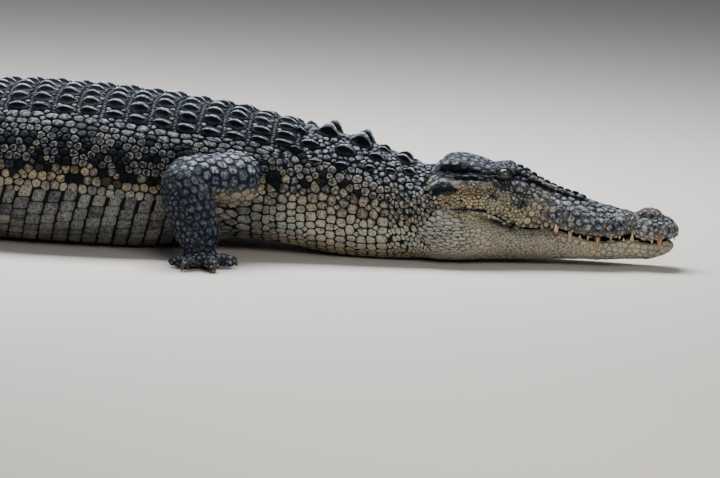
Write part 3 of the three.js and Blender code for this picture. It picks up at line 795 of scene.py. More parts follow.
nostril = -0.006 * swell(from_crescent, 0, 0.0024) + 0.0015 * swell(from_crescent, 0.0055, 0.0022)
points += normals * (groove * lipped + nostril * (places[:, 0] > 0.5))[:, None]
FLOOR_ROOM = 0.0025
points[:, 2] = np.maximum(points[:, 2], FLOOR_ROOM)
set_vertices(skin.data, points)
bpy.context.view_layer.update()
hide_tree = BVHTree.FromObject(skin, bpy.context.evaluated_depsgraph_get())
print("skin now has", len(points), "vertices; lowest at", points[:, 2].min())

# %% [markdown]
# ## Finding a way round the body
#
# Scales lie in rows along the back and round the flanks, so their places are given as a distance
# behind the skull and a distance round the girth from the middle of the back. A small table turns
# the second into the angle of the section.

# %% Girth distances
GIRTH_STEPS, TURN_STEPS = 128, 720
half_turn = np.linspace(math.pi / 2, -math.pi / 2, TURN_STEPS + 1)
side, height = rounded_section(BODY(steps_behind[:, None]), half_turn[None, :])
height = np.maximum(height, 0)
pieces = np.hypot(np.diff(side, axis=1), np.diff(height, axis=1))
run_length = np.concatenate([np.zeros((len(side), 1)), np.cumsum(pieces, axis=1)], axis=1)
half_girth = run_length[:, -1]
shares = np.linspace(0, 1, GIRTH_STEPS)
angle_table = np.array([np.interp(shares * row[-1], row, half_turn) for row in run_length])
spine_places = beside_spine(steps_behind, 0 * steps_behind, 0 * steps_behind)[:, :2]
spine_tree = tree_of(np.column_stack([spine_places, 0 * steps_behind]))


def girth_limit(behind):
    return np.interp(behind, steps_behind, half_girth)


def on_body(behind, girth):
    """Places on the outline of neck, trunk and tail; girth is signed, positive on the left."""
    share = np.clip(np.abs(girth) / girth_limit(behind), 0, 1) * (GIRTH_STEPS - 1)
    row = np.clip(behind / STEP, 0, len(steps_behind) - 1.001)
    i, j = np.floor(row).astype(int), np.minimum(np.floor(share).astype(int), GIRTH_STEPS - 2)
    u, v = row - i, share - j
    angle = (angle_table[i, j] * (1 - u) + angle_table[i + 1, j] * u) * (1 - v)
    angle += (angle_table[i, j + 1] * (1 - u) + angle_table[i + 1, j + 1] * u) * v
    side, height = rounded_section(BODY(behind), angle)
    return beside_spine(behind, np.sign(girth) * np.abs(side), np.maximum(height, 0))


def body_places(points):
    """Distance behind the skull and signed girth distance of points near the body."""
    nearest = np.array([spine_tree.find((x, y, 0))[1] for x, y in points[:, :2].tolist()])
    _x, _y, heading = spine_at(steps_behind[nearest])
    away = points[:, :2] - spine_places[nearest]
    behind = steps_behind[nearest] - away[:, 0] * np.cos(heading) - away[:, 1] * np.sin(heading)
    side = -away[:, 0] * np.sin(heading) + away[:, 1] * np.cos(heading)
    half_width, top, bottom, waist, _upper, _lower = BODY(behind)
    middle = bottom + (top - bottom) * waist
    reach = np.where(points[:, 2] > middle, top - middle, middle - bottom)
    angle = np.arctan2((points[:, 2] - middle) / reach, np.abs(side) / half_width)
    row = np.clip(np.round(behind / STEP).astype(int), 0, len(steps_behind) - 1)
    place = (math.pi / 2 - angle) / math.pi * TURN_STEPS
    low = np.clip(np.floor(place).astype(int), 0, TURN_STEPS - 1)
    mix = place - low
    girth = run_length[row, low] * (1 - mix) + run_length[row, low + 1] * mix
    return behind, np.sign(side) * girth


def spine_direction(behind):
    heading = spine_at(behind)[2]
    return np.stack([np.cos(heading), np.sin(heading), 0 * heading], -1)


def on_hide(points):
    """The nearest places on the skin, the skin's normals there, and how far away they are."""
    found = [hide_tree.find_nearest(p) for p in points.tolist()]
    places = np.array([tuple(f[0]) for f in found])
    return places, np.array([tuple(f[1]) for f in found]), np.array([f[3] for f in found])


print("half girth at the shoulder, the belly and the tail's root:",
      [round(float(girth_limit(s)), 3) for s in (SHOULDER, 0.95, TAIL_START)])

# %% [markdown]
# ## Where every scale stands
#
# A saltwater crocodile's back carries cross rows of bony shields with a keel each. Below them come
# ovals, then small round scales, then belly squares in tidy columns. The tail has two squares to
# each crest. These are set by rule. Necks, heads and legs have scales of mixed size with no rows,
# so the rest of the skin is filled by throwing darts: a spot that is still free gets a scale, and
# it claims the space that its size asks for. Sculpting ten thousand scales by hand would take weeks,
# and a painted texture would lie flat. Rules give every scale a true edge, and can be changed again.

# %% Kinds of scale
# Each: directions round it, height for its half width, and its rings as (share of the way out, share
# of the height, width of the ring). The narrow rings of a shield gather under its keel.
KINDS = {
    "bead": (7, 0.5, [(1.0, 0.1, 1), (0.84, 0.7, 1)]),
    "knob": (9, 0.58, [(1.0, 0.1, 1), (0.86, 0.62, 1), (0.5, 0.95, 1)]),
    "ring": (11, 0.32, [(1.0, 0.1, 1), (0.86, 0.74, 1), (0.58, 1.0, 1), (0.34, 0.86, 1)]),
    "oval": (12, 0.38, [(1.0, 0.12, 1), (0.86, 0.66, 1), (0.5, 0.96, 1)]),
    "plate": (12, 0.17, [(1.0, 0.1, 1), (0.93, 0.7, 1), (0.6, 1.0, 1)]),
    "square": (20, 0.15, [(1.0, 0.0, 1), (0.965, 0.5, 1), (0.86, 0.82, 1), (0.45, 1.0, 1)]),
    "lump": (10, 0.3, [(1.0, 0.4, 1), (0.84, 0.78, 1), (0.5, 0.97, 1)]),
    "shield": (24, 0.14, [(1.0, 0.3, 1), (0.95, 0.92, 1), (0.9, 1.0, 0.56), (0.85, 1.0, 0.4),
                          (0.8, 1.0, 0.2), (0.75, 1.0, 0.07), (0.58, 1.0, 0.02)]),
    "smooth": (9, 0.05, [(1.0, 0.3, 1), (0.9, 0.75, 1), (0.5, 0.98, 1)]),
    "fold": (12, 0.22, [(1.0, 0.04, 1), (0.8, 0.74, 1), (0.44, 1.0, 1)]),
}
SUNK_MIDDLE = {"ring": 0.84}  # height of the middle, where it isn't the full height
KIND = {name: i for i, name in enumerate(KINDS)}
rng = np.random.default_rng(14)
seeds = []  # blocks of (place, run, half length, half width, keel height or a square's lean, kind, piece)


def spread_out(count, *values):
    """Each value once for every scale."""
    return [np.broadcast_to(np.asarray(value, float), count) for value in values]


def add_seeds(places, run, half_length, half_width, kind, piece, keel=0.0):
    count = len(places)
    sizes = spread_out(count, half_length, half_width, keel)
    run = np.broadcast_to(run, (count, 3))
    seeds.append((places, run, *sizes, np.full(count, KIND[kind]), [piece] * count))


OWN_SKIN = 0.0085  # a place on the body's outline that is further than this from the skin is inside a leg
BELLY_MARGIN = 0.004  # no scale's middle comes closer to the belly's middle line


def add_body_seeds(behind, girth, half_length, half_width, kind, piece, keel=0.0):
    """Scales at body places, on both sides, kept only where the skin is the body's own."""
    sizes = np.stack(spread_out(len(behind), half_length, half_width, keel))
    for hand, side_name in ((1, "left"), (-1, "right")):
        kept = girth < girth_limit(behind) - BELLY_MARGIN
        places = on_body(behind[kept], girth[kept] * hand)
        own = on_hide(places)[2] < OWN_SKIN
        long, wide, tall = sizes[:, kept][:, own]
        run = spine_direction(behind[kept][own])
        add_seeds(places[own], run, long, wide, kind, piece.replace("SIDE", side_name), tall)


# %% Back shields and the beads between their rows
ROW_PITCH = 0.062
SHIELD_ROWS = 18
FIRST_ROW = 0.395
COLUMN_PITCH = 0.05
BOW = 0.13  # how far a cross row of shields runs forward for each metre round the girth


def column_pitch(behind):
    return COLUMN_PITCH * np.clip(BODY(behind)[0] / 0.262, 0.7, 1.0)


# Where each column stands, its width in column pitches, and its keel's height.
SHIELD_COLUMNS = [(0.52, 1.0, 0.0165), (1.52, 1.0, 0.0175), (2.52, 1.0, 0.0165), (3.44, 0.84, 0.012)]
BAND = 3.9  # where the shields end, in column pitches
rows_behind = FIRST_ROW + ROW_PITCH * np.arange(SHIELD_ROWS)
for column, width, keel in SHIELD_COLUMNS:
    pitch = column_pitch(rows_behind)
    jitter = rng.normal(0, 0.0024, (2, SHIELD_ROWS))
    grown = 0.7 + 0.3 * smooth(rows_behind, 0.42, 0.6)
    add_body_seeds(rows_behind + jitter[0] - BOW * pitch * column, pitch * column + jitter[1],
                   ROW_PITCH / 2 - 0.0025, pitch * width / 2, "shield", "back_shields",
                   keel * grown * rng.uniform(0.85, 1.02, SHIELD_ROWS))
BEAD_HALF = 0.0046
for behind in rows_behind - ROW_PITCH / 2:
    reach = float(column_pitch(behind)) * BAND
    girth = np.arange(0.004, reach, 0.0092)
    girth = girth + rng.normal(0, 0.001, len(girth))
    place = behind + rng.normal(0, 0.0014, len(girth)) - BOW * girth
    add_body_seeds(place, girth, BEAD_HALF, BEAD_HALF, "bead", "back_shields")
print("back:", SHIELD_ROWS, "rows of shields")

# %% [markdown]
# ## Rows of the flank and squares of the belly
#
# Down the flank the scales grow from ovals to rings and plates, each row shifted half a scale against
# the one above. The belly is paved in columns of squares whose heights differ, like rough masonry.
# Both are short loops over a pitch, with a little chance in every place and size, because an even
# grid would look printed and a hand-placed one could not be changed again.

# %% Flank ovals, round scales and belly squares
# Each: kind, height and pitch of its scales, in metres where the half girth is 0.8 m.
FLANK_ROWS = [("oval", 0.023, 0.034), ("oval", 0.022, 0.03)]
FLANK_ROWS += [("ring", 0.0205, 0.0218)] * 5 + [("plate", 0.0225, 0.0236)] * 3
GIRTH_OF_ROWS = 0.8
LEAN = 0.28  # how far a column of squares leans back for each metre down
ROWS_DOWN, UPPER_ROWS = 24, 5  # scales in a column, and how many of them belong to the upper piece


def add_flank_row(top, kind, row_height, row_pitch, offset):
    behind = np.arange(0.415, 1.48, row_pitch) + offset
    grown = girth_limit(behind) / GIRTH_OF_ROWS
    girth = column_pitch(behind) * BAND + (top + row_height / 2) * grown
    wander = rng.normal(0, 0.0026, (2, len(behind)))
    size = rng.uniform(0.84, 1.16, len(behind))
    add_body_seeds(behind + wander[0], girth + wander[1], row_pitch / 2 * size, row_height / 2 * size * grown,
                   kind, "flank_SIDE")


down = 0.0
for number, (kind, row_height, row_pitch) in enumerate(FLANK_ROWS):
    add_flank_row(down, kind, row_height, row_pitch, number % 2 * row_pitch / 2)
    down += row_height


def add_columns(behind, last, widths, heights, top_of, lean, kind, piece, lower_piece):
    """Columns of scales from a girth down to the middle of the belly, like rough masonry."""
    wander = 0.0007 if kind == "square" else 0.0016
    while behind < last:
        width = rng.uniform(*widths)
        top = top_of(behind)
        start = top + rng.uniform(-0.3, 0.3) * heights[0]
        behind += width / 2
        tall = rng.uniform(*heights, ROWS_DOWN)
        middle = start + np.cumsum(tall) - tall / 2
        place = behind + lean * (middle - top) + rng.normal(0, wander, ROWS_DOWN)
        half = np.where(np.arange(ROWS_DOWN) == 0, 0.42, 0.5) * width
        for rows, name in ((slice(UPPER_ROWS), piece), (slice(UPPER_ROWS, None), lower_piece)):
            add_body_seeds(place[rows], middle[rows], half[rows], tall[rows] / 2, kind, name, lean)
        behind += width / 2


def under_rows(behind):
    return float(column_pitch(behind) * BAND + down * girth_limit(behind) / GIRTH_OF_ROWS)


add_columns(0.56, 1.46, (0.034, 0.041), (0.028, 0.038), under_rows, LEAN, "square", "flank_SIDE",
            "belly_scales")

# %% [markdown]
# ## The neck's shields and the tail's squares
#
# Behind the skull stand two arcs of tall pointed shields, no two alike, so each is one row of a short
# table. Under them the neck is paved in plates, drawn the same way as the belly. The tail carries two
# cross rows of squares to each tooth of its crest, and they narrow as the tail does.

# %% Lower neck, and the tail's squares
add_columns(0.112, 0.375, (0.02, 0.028), (0.018, 0.03), lambda behind: 0.2 + 0.06 * (behind - 0.2), 0.06,
            "plate", "neck_scales", "neck_scales")
add_columns(0.375, 0.455, (0.026, 0.034), (0.022, 0.034), lambda behind: 0.215, 0.12, "plate", "neck_scales",
            "belly_scales")
# Behind, girth, half length, half width and keel of the big shields on the neck.
NECK_SHIELDS = [
    (204, 30, 34, 24, 30), (286, 32, 34, 25, 29), (236, 88, 29, 20, 19), (318, 100, 24, 17, 14),
    (158, 74, 21, 15, 14), (98, 30, 24, 16, 16), (78, 78, 20, 13, 12), (354, 60, 22, 18, 13),
    (150, 20, 17, 13, 11), (300, 150, 18, 13, 10), (236, 136, 18, 13, 10), (170, 118, 16, 12, 9),
    (120, 104, 16, 12, 9), (350, 130, 18, 14, 9),
]
for behind, girth, half_length, half_width, keel in np.array(NECK_SHIELDS) / MM:
    spot = np.array([behind]), np.array([girth])
    add_body_seeds(*spot, half_length, half_width, "shield", "neck_scales", keel)
TAIL_ROW = 0.031
for number in range(int((TAIL_TIP - 0.03 - TAIL_START - 0.012) / TAIL_ROW)):
    s = TAIL_START + 0.024 + TAIL_ROW * number
    limit = float(girth_limit(s))
    width = float(np.clip(0.115 * limit + 0.006, 0.009, 0.033))
    crest_room = float(BODY(s)[0]) * 0.5 * (1 - smooth(s, 1.5, 2.5)) + 0.006
    girth = np.arange(crest_room * 0.2 + width * 0.5, limit, width)
    behind = np.full(len(girth), s) + rng.normal(0, 0.0008, len(girth))
    piece = "tail_root_scales" if s < 2.1 else "tail_tip_scales"
    add_body_seeds(behind, girth + rng.normal(0, 0.0006, len(girth)), TAIL_ROW / 2, width / 2, "plate", piece)
print("set by rule:", sum(len(block[0]) for block in seeds), "scales")

# %% [markdown]
# ## Scales of the face, neck and legs
#
# The face is read in patches: each names a place on the head and the scales that grow there, and a
# scale takes the nearest patch. They are smallest on the lids, smooth on the table and the nose,
# knobbly down the snout, cracked like dry mud on the cheeks, and drawn out into folds over the big
# jaw muscle. The lips carry a row each, set by rule.

# %% Patches of the face
# For each kind: places (forward, side, up), with the half length and half width of a scale there.
FACE_PATCHES = {
    "smooth": [
        (20, 20, 250, 10, 9), (80, 20, 245, 10, 9), (20, 65, 250, 11, 8), (80, 65, 250, 11, 8),
        (162, 52, 240, 5, 4.5), (168, 79, 226, 2.9, 2.6), (165, 15, 216, 6, 5.5), (45, 93, 236, 14, 5.5),
        (105, 88, 226, 13, 4.5), (55, 107, 217, 15, 5), (115, 95, 213, 11, 4.5), (0, 118, 207, 13, 6),
        (50, 116, 205, 12, 5.6), (0, 121, 191, 10, 6), (30, 124, 191, 10, 6), (207, 77, 195, 10, 8),
        (480, 15, 121, 6.5, 6), (523, 10, 133, 6, 5.5), (575, 15, 100, 7, 6.4), (590, 10, 70, 5, 4.6),
        (570, 20, 30, 6, 5.5),
    ],
    "knob": [
        (200, 20, 205, 7, 6), (220, 46, 213, 9.5, 7.5), (270, 39, 190, 9.5, 7.5), (320, 30, 167, 9.5, 7.5),
        (360, 20, 152, 9.5, 8), (-30, 50, 215, 7, 6.5), (-40, 110, 180, 6, 5.5),
    ],
    "plate": [
        (100, 104, 203, 7, 4.8), (130, 96, 197, 4.2, 3.8), (75, 122, 186, 5.6, 4.6),
        (110, 112, 182, 5.2, 4.4), (90, 130, 160, 7, 5.6), (140, 118, 150, 5.8, 5.2),
        (190, 105, 130, 5.8, 5.2), (215, 90, 165, 6, 5.4), (340, 75, 45, 5.4, 5), (260, 90, 50, 5, 4.4),
        (180, 112, 55, 5.4, 4.6), (130, 138, 105, 6.2, 5), (90, 150, 110, 6.5, 5.5), (150, 80, 4, 9, 8),
        (300, 40, 2, 9, 8), (50, 50, 2, 11, 9), (480, 20, 4, 8, 7), (-55, 145, 110, 4.6, 9),
        (-45, 145, 50, 4.6, 9),
    ],
    "oval": [
        (-10, 138, 162, 6.6, 5.2), (30, 140, 160, 6.6, 5), (60, 145, 143, 6.8, 5.8), (160, 104, 174, 5, 6),
    ],
    "bead": [
        (165, 98, 192, 3.6, 3.3),
    ],
    "lump": [
        (245, 85, 130, 7, 6.2), (250, 65, 175, 8, 7), (280, 10, 178, 9, 7.5), (420, 20, 134, 9.5, 8.5),
        (300, 68, 140, 8.5, 7.5), (350, 60, 120, 9.6, 8.4), (410, 55, 108, 9.6, 8.4), (465, 40, 104, 8, 7),
        (540, 45, 90, 7, 6.4), (520, 40, 30, 8, 7), (430, 55, 35, 7.5, 7),
    ],
    "fold": [
        (95, 145, 70, 9, 5.5), (50, 158, 110, 14, 5), (60, 155, 65, 15, 5), (0, 160, 135, 10, 6.5),
        (10, 166, 100, 17, 4.8), (10, 166, 60, 17, 5.4), (-25, 150, 80, 13, 4.6), (40, 140, 20, 13, 6),
    ],
}
FINENESS = {"plate": 0.72, "oval": 0.76, "lump": 1.02, "bead": 0.85, "fold": 1.15}
patch_rows = np.array([row for rows in FACE_PATCHES.values() for row in rows]) / MM
patch_names = [name for name, rows in FACE_PATCHES.items() for _row in rows]
patch_places, patch_sizes = patch_rows[:, :3], patch_rows[:, 3:]
patch_kinds = np.array([KIND[name] for name in patch_names])
patch_fineness = np.array([[FINENESS.get(name, 1.0)] for name in patch_names])
print("face:", len(patch_names), "patches of scales")

# %% Rules for skin that no row covers
HIDE_PIECES = ["back_shields", "flank_right", "flank_left", "belly_scales", "neck_scales", "tail_root_scales",
               "tail_tip_scales", "head_scales", "jaw_scales", "fore_right_scales", "fore_left_scales",
               "hind_right_scales", "hind_left_scales"]
PIECE = {name: i for i, name in enumerate(HIDE_PIECES)}


def leg_piece(name):
    """The piece that a length of leg belongs to: fore_right_upper goes to fore_right_scales."""
    return "_".join(name.split("_")[:2]) + "_scales"


def filling_rules(points, normals, groups):
    """Half length, half width, kind, run direction and piece for the scales that fill free skin."""
    count = len(points)
    behind, girth = body_places(points)
    share = np.abs(girth) / girth_limit(behind)
    size = np.tile((0.008, 0.0072), (count, 1))
    kind = np.full(count, KIND["bead"])
    run = spine_direction(behind)
    piece = np.full(count, PIECE["belly_scales"])
    piece[behind < 0.43] = PIECE["neck_scales"]
    piece[behind > TAIL_START] = PIECE["tail_root_scales"]

    def grow(where, name, half_length, half_width, slant=0.0):
        """Says what grows in one region, and how much its scales tilt up behind."""
        size[where] = half_length, half_width
        kind[where] = KIND[name]
        run[where] = unit(run[where] + UP * slant)

    neck = (groups == 0) & (behind < 0.43)
    grow(neck & (share < 0.27), "knob", 0.0084, 0.0076)
    grow(neck & (share >= 0.27) & (share < 0.42), "ring", 0.0092, 0.0088)
    kind[neck & (share >= 0.42)] = KIND["plate"]
    grow(neck & (share > 0.3) & (behind < 0.115), "plate", 0.005, 0.0074, 0.4)
    spread = np.random.default_rng(8).uniform(0.74, 1.3, count)[:, None]
    size[neck] *= spread[neck]
    grow((groups == 0) & (behind > 0.36) & (behind < 0.58) & (share > 0.42), "plate", 0.015, 0.0084, -0.45)
    head = (groups == 1) | (groups == 2)
    places = folded_head(points)
    patch = np.argmin(np.linalg.norm(places[:, None] - patch_places, axis=2), axis=1)
    size[head] = patch_sizes[patch[head]] * (0.45 + 0.55 * spread[head]) * patch_fineness[patch[head]]
    kind[head] = patch_kinds[patch[head]]
    run[head] = (math.cos(SKULL_HEADING), math.sin(SKULL_HEADING), 0.0)
    muscle = head & (kind == KIND["fold"])
    around = places - np.array((0.06, 0.15, 0.33))  # the folds sag like hammocks across the muscle
    hand = np.sign(head_places(points)[1])
    turned_run = np.stack([-around[:, 2], 0 * hand, around[:, 0]], 1) @ HEAD_TURN.T
    run[muscle] = turned_run[muscle]
    piece[head] = PIECE["head_scales"]
    lower = head & (places[:, 2] < mouth_line(places[:, 0])) & ((places[:, 0] > 0.05) | (groups == 2))
    piece[lower] = PIECE["jaw_scales"]
    for number, name in enumerate(GROUPS[LIMB:], start=LIMB):
        mine = groups == number
        start, end = LIMB_AXES[name]
        axis = unit(end - start)
        along = (points[mine] - start) @ axis / np.linalg.norm(end - start)
        facing = normals[mine]
        front, top = facing[:, 0], facing[:, 2]
        kind[mine] = KIND["plate"]
        if name.endswith("upper"):
            half = (0.01 + 0.003 * smooth(top, 0.1, 0.6)) * spread[mine, 0]
            longer, wider = 1.08, 0.95
        elif name.endswith("lower"):
            lead = smooth(front, 0.25, 0.75)
            half = (0.0064 + 0.0046 * lead) * spread[mine, 0]
            longer, wider = 1 - 0.15 * lead, 1 + 0.35 * lead
        else:
            half = 0.0048 + 0.0012 * smooth(top, 0.2, 0.8)
            longer, wider = 1.0, 1.1
            kind[mine] = np.where(top > 0.2, KIND["plate"], KIND["bead"])
        size[mine] = np.stack([half * longer, half * wider], 1)
        run[mine] = axis
        piece[mine] = PIECE[leg_piece(name)]
    return size, kind, run, piece


# %% Plates in rings round the upper legs and the forearm's leading edge
LEG_RADIUS = 0.062  # of a usual leg, for which the plates' widths are given
CLEAR = 0.13  # how far from the bone the probing rays start


def add_limb_rows(name, pitch, width, first, last, facing):
    """Rings of plates round a length of leg, on the side that faces a direction, away from the body."""
    start, end = LIMB_AXES[name]
    length = np.linalg.norm(end - start)
    axis = (end - start) / length
    beside = unit(np.cross(axis, UP))
    over = np.cross(beside, axis)
    count = round(2 * math.pi * LEG_RADIUS / width)
    for row, share in enumerate(np.arange(first, last, pitch / length)):
        turn = (np.arange(count) + row % 2 * 0.5) * 2 * math.pi / count
        out = np.cos(turn)[:, None] * beside + np.sin(turn)[:, None] * over
        middle = start + axis * (share * length + rng.normal(0, 0.001))
        hits = [hide_tree.ray_cast(Vector(middle + CLEAR * o), Vector(-o), CLEAR)[0] for o in out]
        kept = [i for i, hit in enumerate(hits) if hit and out[i] @ np.array(facing) > -0.1]
        places = np.array([tuple(hits[i]) for i in kept])
        if not len(places):
            continue
        own = nearest_group(places) == GROUPS.index(name)
        size = np.linalg.norm(places - middle, axis=1)[own] / LEG_RADIUS
        half_length = pitch / 2 * rng.uniform(0.94, 1.08, own.sum())
        add_seeds(places[own], axis, half_length, width / 2 * size, "plate", leg_piece(name))


for side_name, _hand in SIDES:
    add_limb_rows(f"fore_{side_name}_upper", 0.0265, 0.027, 0.1, 1.02, (0, 0, 1))
    add_limb_rows(f"fore_{side_name}_lower", 0.0215, 0.024, 0.05, 0.95, (1, 0, 0))
    add_limb_rows(f"hind_{side_name}_upper", 0.022, 0.023, 0.15, 1.02, (0, 0, 1))

# %% Rows of scales along the lips, and the paired knobs of the snout
def add_head_row(guess, half_length, half_width, kind, piece):
    """A row of scales along a line near the skin of the head."""
    places = on_hide(guess)[0]
    add_seeds(places, unit(np.gradient(places, axis=0)), half_length, half_width, kind, piece)


lip_stations = [0.135]
while lip_stations[-1] < 0.588:
    lip_stations.append(lip_stations[-1] + (0.0125 if lip_stations[-1] < 0.25 else 0.015))
lip_stations.pop()
knob_line = np.array(STROKES["ridge of knobs"][0]) / MM
shares = np.linspace(0, 1, len(knob_line))
knobs = np.stack([np.interp(np.linspace(0, 1, 10), shares, column) for column in knob_line.T], 1)
for hand in (1, -1):
    stations = np.array(lip_stations)
    for offset, kind, piece in ((0.0074, "knob", "head_scales"), (-0.0088, "plate", "jaw_scales")):
        stations = stations + rng.uniform(-0.003, 0.003, len(stations))
        up = mouth_line(stations) + offset + np.sign(offset) * (mouth_gape(stations) - 0.002)
        half_length = 0.0066 * rng.uniform(0.8, 1.25, len(stations))
        half_width = 0.0062 * rng.uniform(0.8, 1.2, len(stations))
        guess = in_head(stations, hand * (JAW(stations)[0] + 0.012), up)
        add_head_row(guess, half_length, half_width, kind, piece)
    add_head_row(in_head(knobs[:, 0], hand * knobs[:, 1], knobs[:, 2]), 0.0094, 0.0078, "knob", "head_scales")
print("with lips and snout:", sum(len(block[0]) for block in seeds), "scales")

# %% Throw the darts
fixed = [np.concatenate([np.asarray(block[i]) for block in seeds]) for i in range(6)]
fixed_piece = np.array([PIECE[name] for block in seeds for name in block[6]])
edges = edge_array(skin.data)
a, b = edges.T
on_head = (head_places(points)[0] > -0.06)[a] & (edge_lengths(points, edges) > 0.003)
middles = (points[a] + points[b])[on_head] / 2
hide_normals = normal_array(skin.data)
spots = np.vstack([points, middles])
spot_normals = unit(np.vstack([hide_normals, (hide_normals[a] + hide_normals[b])[on_head]]))
wanted = np.concatenate([np.full(len(points), 0.55), np.full(len(middles), 0.6)])  # share to try
chosen = rng.permutation(np.flatnonzero(rng.random(len(spots)) < wanted))
spots, spot_normals = spots[chosen], spot_normals[chosen]
spot_groups = nearest_group(spots)
places = folded_head(spots)
lid_room = 0.004 + 0.004 * smooth((places - EYE) @ EYE_UP, 0.004, 0.01)
in_eye = (np.linalg.norm(places - EYE, axis=1) < 0.035) & (opening_distance(places) < lid_room)
in_eye &= (places - EYE) @ EYE_OUT > -0.004
off_line = np.abs(places[:, 2] - mouth_line(places[:, 0]))
in_mouth = (off_line < mouth_gape(places[:, 0]) + 0.0022) & (places[:, 0] > MOUTH_CORNER)
in_nostril = distance_to_line(places, crescent) < 0.0042
under = (spots[:, 2] < FLOOR_ROOM + 0.0008) & (spot_normals[:, 2] < -0.8)
free = ~(in_eye | in_mouth | in_nostril)
spot_size, spot_kind, spot_run, spot_piece = filling_rules(spots, spot_normals, spot_groups)
spot_size[under] *= 1.6  # what the animal lies on is hidden, so its scales are larger
tree = tree_of(spots)
ROOM = 0.86  # how close two scales' middles may come, in units of their half sizes


def claim(place, run, half_length, half_width, lean=None):
    """Takes the spots that a scale at this place would crowd; a square claims its corners too."""
    reach = max(half_length, half_width) * (1.0 if lean is None else 1.5) + 0.015
    found = np.array([item[1] for item in tree.find_range(place, reach)], int)
    if not len(found):
        return
    delta = spots[found] - place
    u = delta @ run
    v = np.sqrt(np.maximum((delta**2).sum(1) - u * u, 0))
    if lean is None:
        long, wide = half_length + spot_size[found, 0], half_width + spot_size[found, 1]
        crowd = np.hypot(u / long, v / wide) / ROOM
    else:
        u = u - lean * np.sign(delta[:, 2]) * v
        crowd = np.maximum(np.abs(u) / (half_length + 0.6 * spot_size[found, 0]),
                           np.abs(v) / (half_width + 0.6 * spot_size[found, 1]))
    free[found[crowd < 1]] = False


for i in range(len(fixed[0])):
    square = fixed[5][i] == KIND["square"]
    claim(*(block[i] for block in fixed[:4]), fixed[4][i] if square else None)
thrown = []
for i in range(len(spots)):
    if free[i]:
        thrown.append(i)
        claim(spots[i], spot_run[i], *spot_size[i])
print("darts:", len(thrown), "scales fill the rest")

# %% [markdown]
# ## From spots to cells
#
# Scales meet their neighbours along straight creases, as mud cracks do. So each scale's edge is
# found from the scales round it: in every direction it runs out to halfway towards the neighbour
# that is met first, less half the crease. Free scales are pushed apart a little before that, which
# evens them out.

# %% Gather the scales and even out the thrown ones
place = np.vstack([fixed[0], spots[thrown]])
run = np.vstack([fixed[1], spot_run[thrown]])
half = np.vstack([np.stack(fixed[2:4], 1), spot_size[thrown]])
keel = np.concatenate([fixed[4], np.zeros(len(thrown))])
kind = np.concatenate([fixed[5].astype(int), spot_kind[thrown]])
piece = np.concatenate([fixed_piece, spot_piece[thrown]])
movable = np.arange(len(place)) >= len(fixed[0])
NEIGHBOURS = 16


def neighbours_of(place):
    tree = tree_of(place)
    return np.array([[item[1] for item in tree.find_n(p, NEIGHBOURS + 1)[1:]] for p in place.tolist()])


def typical_size(half):
    return np.sqrt(half[:, 0] * half[:, 1])


def laid_flat(place, run):
    """Scales pressed onto the skin: place, normal, and the directions along and across them."""
    place, normal, _away = on_hide(place)
    run = unit(run - normal * (run * normal).sum(1)[:, None])
    return place, normal, run, np.cross(normal, run)


def in_cell_units(place, run, across, half, near):
    """Neighbours' places in each scale's own plane, in units of its half length and half width."""
    delta = place[near] - place[:, None]
    u = (delta * run[:, None]).sum(2) / half[:, :1]
    v = (delta * across[:, None]).sum(2) / half[:, 1:]
    return u, v


mean_size = typical_size(half)
for _round in range(2):
    place, normal, run, across = laid_flat(place, run)
    near = neighbours_of(place)
    u, v = in_cell_units(place, run, across, half, near)
    reach = 1 + mean_size[near] / mean_size[:, None]
    distance = np.maximum(np.hypot(u, v), 1e-6)
    push = np.maximum(0, 1.04 - distance / reach) * movable[:, None] * 0.35
    shift = -(push / distance)[..., None] * np.stack([u, v], 2)
    shift = shift.sum(1) * half
    place = place + run * shift[:, :1] + across * shift[:, 1:]
near = neighbours_of(place)
smaller = np.minimum(mean_size[:, None], mean_size[near])
crowding = np.linalg.norm(place[near] - place[:, None], axis=2) / smaller
kept = ~((crowding < 0.5) & (near < np.arange(len(place))[:, None])).any(1) | ~movable
place, run, half, keel = (values[kept] for values in (place, run, half, keel))
kind, piece, movable = (values[kept] for values in (kind, piece, movable))
place, normal, run, across = laid_flat(place, run)
near = neighbours_of(place)
twist = (rng.normal(0, 0.1, len(place)) * movable)[:, None]
run, across = run * np.cos(twist) + across * np.sin(twist), across * np.cos(twist) - run * np.sin(twist)
print("scales in all:", len(place), "after dropping", int((~kept).sum()), "that lay on another")

# %% Cell edges
# Width of the crease round each kind, in millimetres.
CREASE = {"bead": 1.0, "knob": 1.4, "ring": 2.4, "oval": 2.0, "plate": 1.6, "square": 0, "lump": 0.6,
          "shield": 1.8, "smooth": 0.6, "fold": 1.1}
FINER = {"head_scales": 0.7, "jaw_scales": 0.6, "fore_right_scales": 0.45, "fore_left_scales": 0.45}
crease = np.array([CREASE[name] for name in KINDS])[kind] / MM
crease = crease * np.array([FINER.get(name, 1.0) for name in HIDE_PIECES])[piece]
crease = np.minimum(crease, 0.2 * half.min(1))
u, v = in_cell_units(place, run, across, half, near)
facing = (normal[:, None] * normal[near]).sum(2)
mean_size = typical_size(half)
bound = np.hypot(u, v) / (1 + mean_size[near] / mean_size[:, None])
bound = np.maximum(np.where(facing > 0.1, bound, 9.0), 0.3)
bearing = np.arctan2(v, u)
SHARPNESS = 22.0  # how square the corners between two neighbours are
SQUARE_GAP = (0.018, 0.016)  # half the creases beside and over a square, as shares of its sides


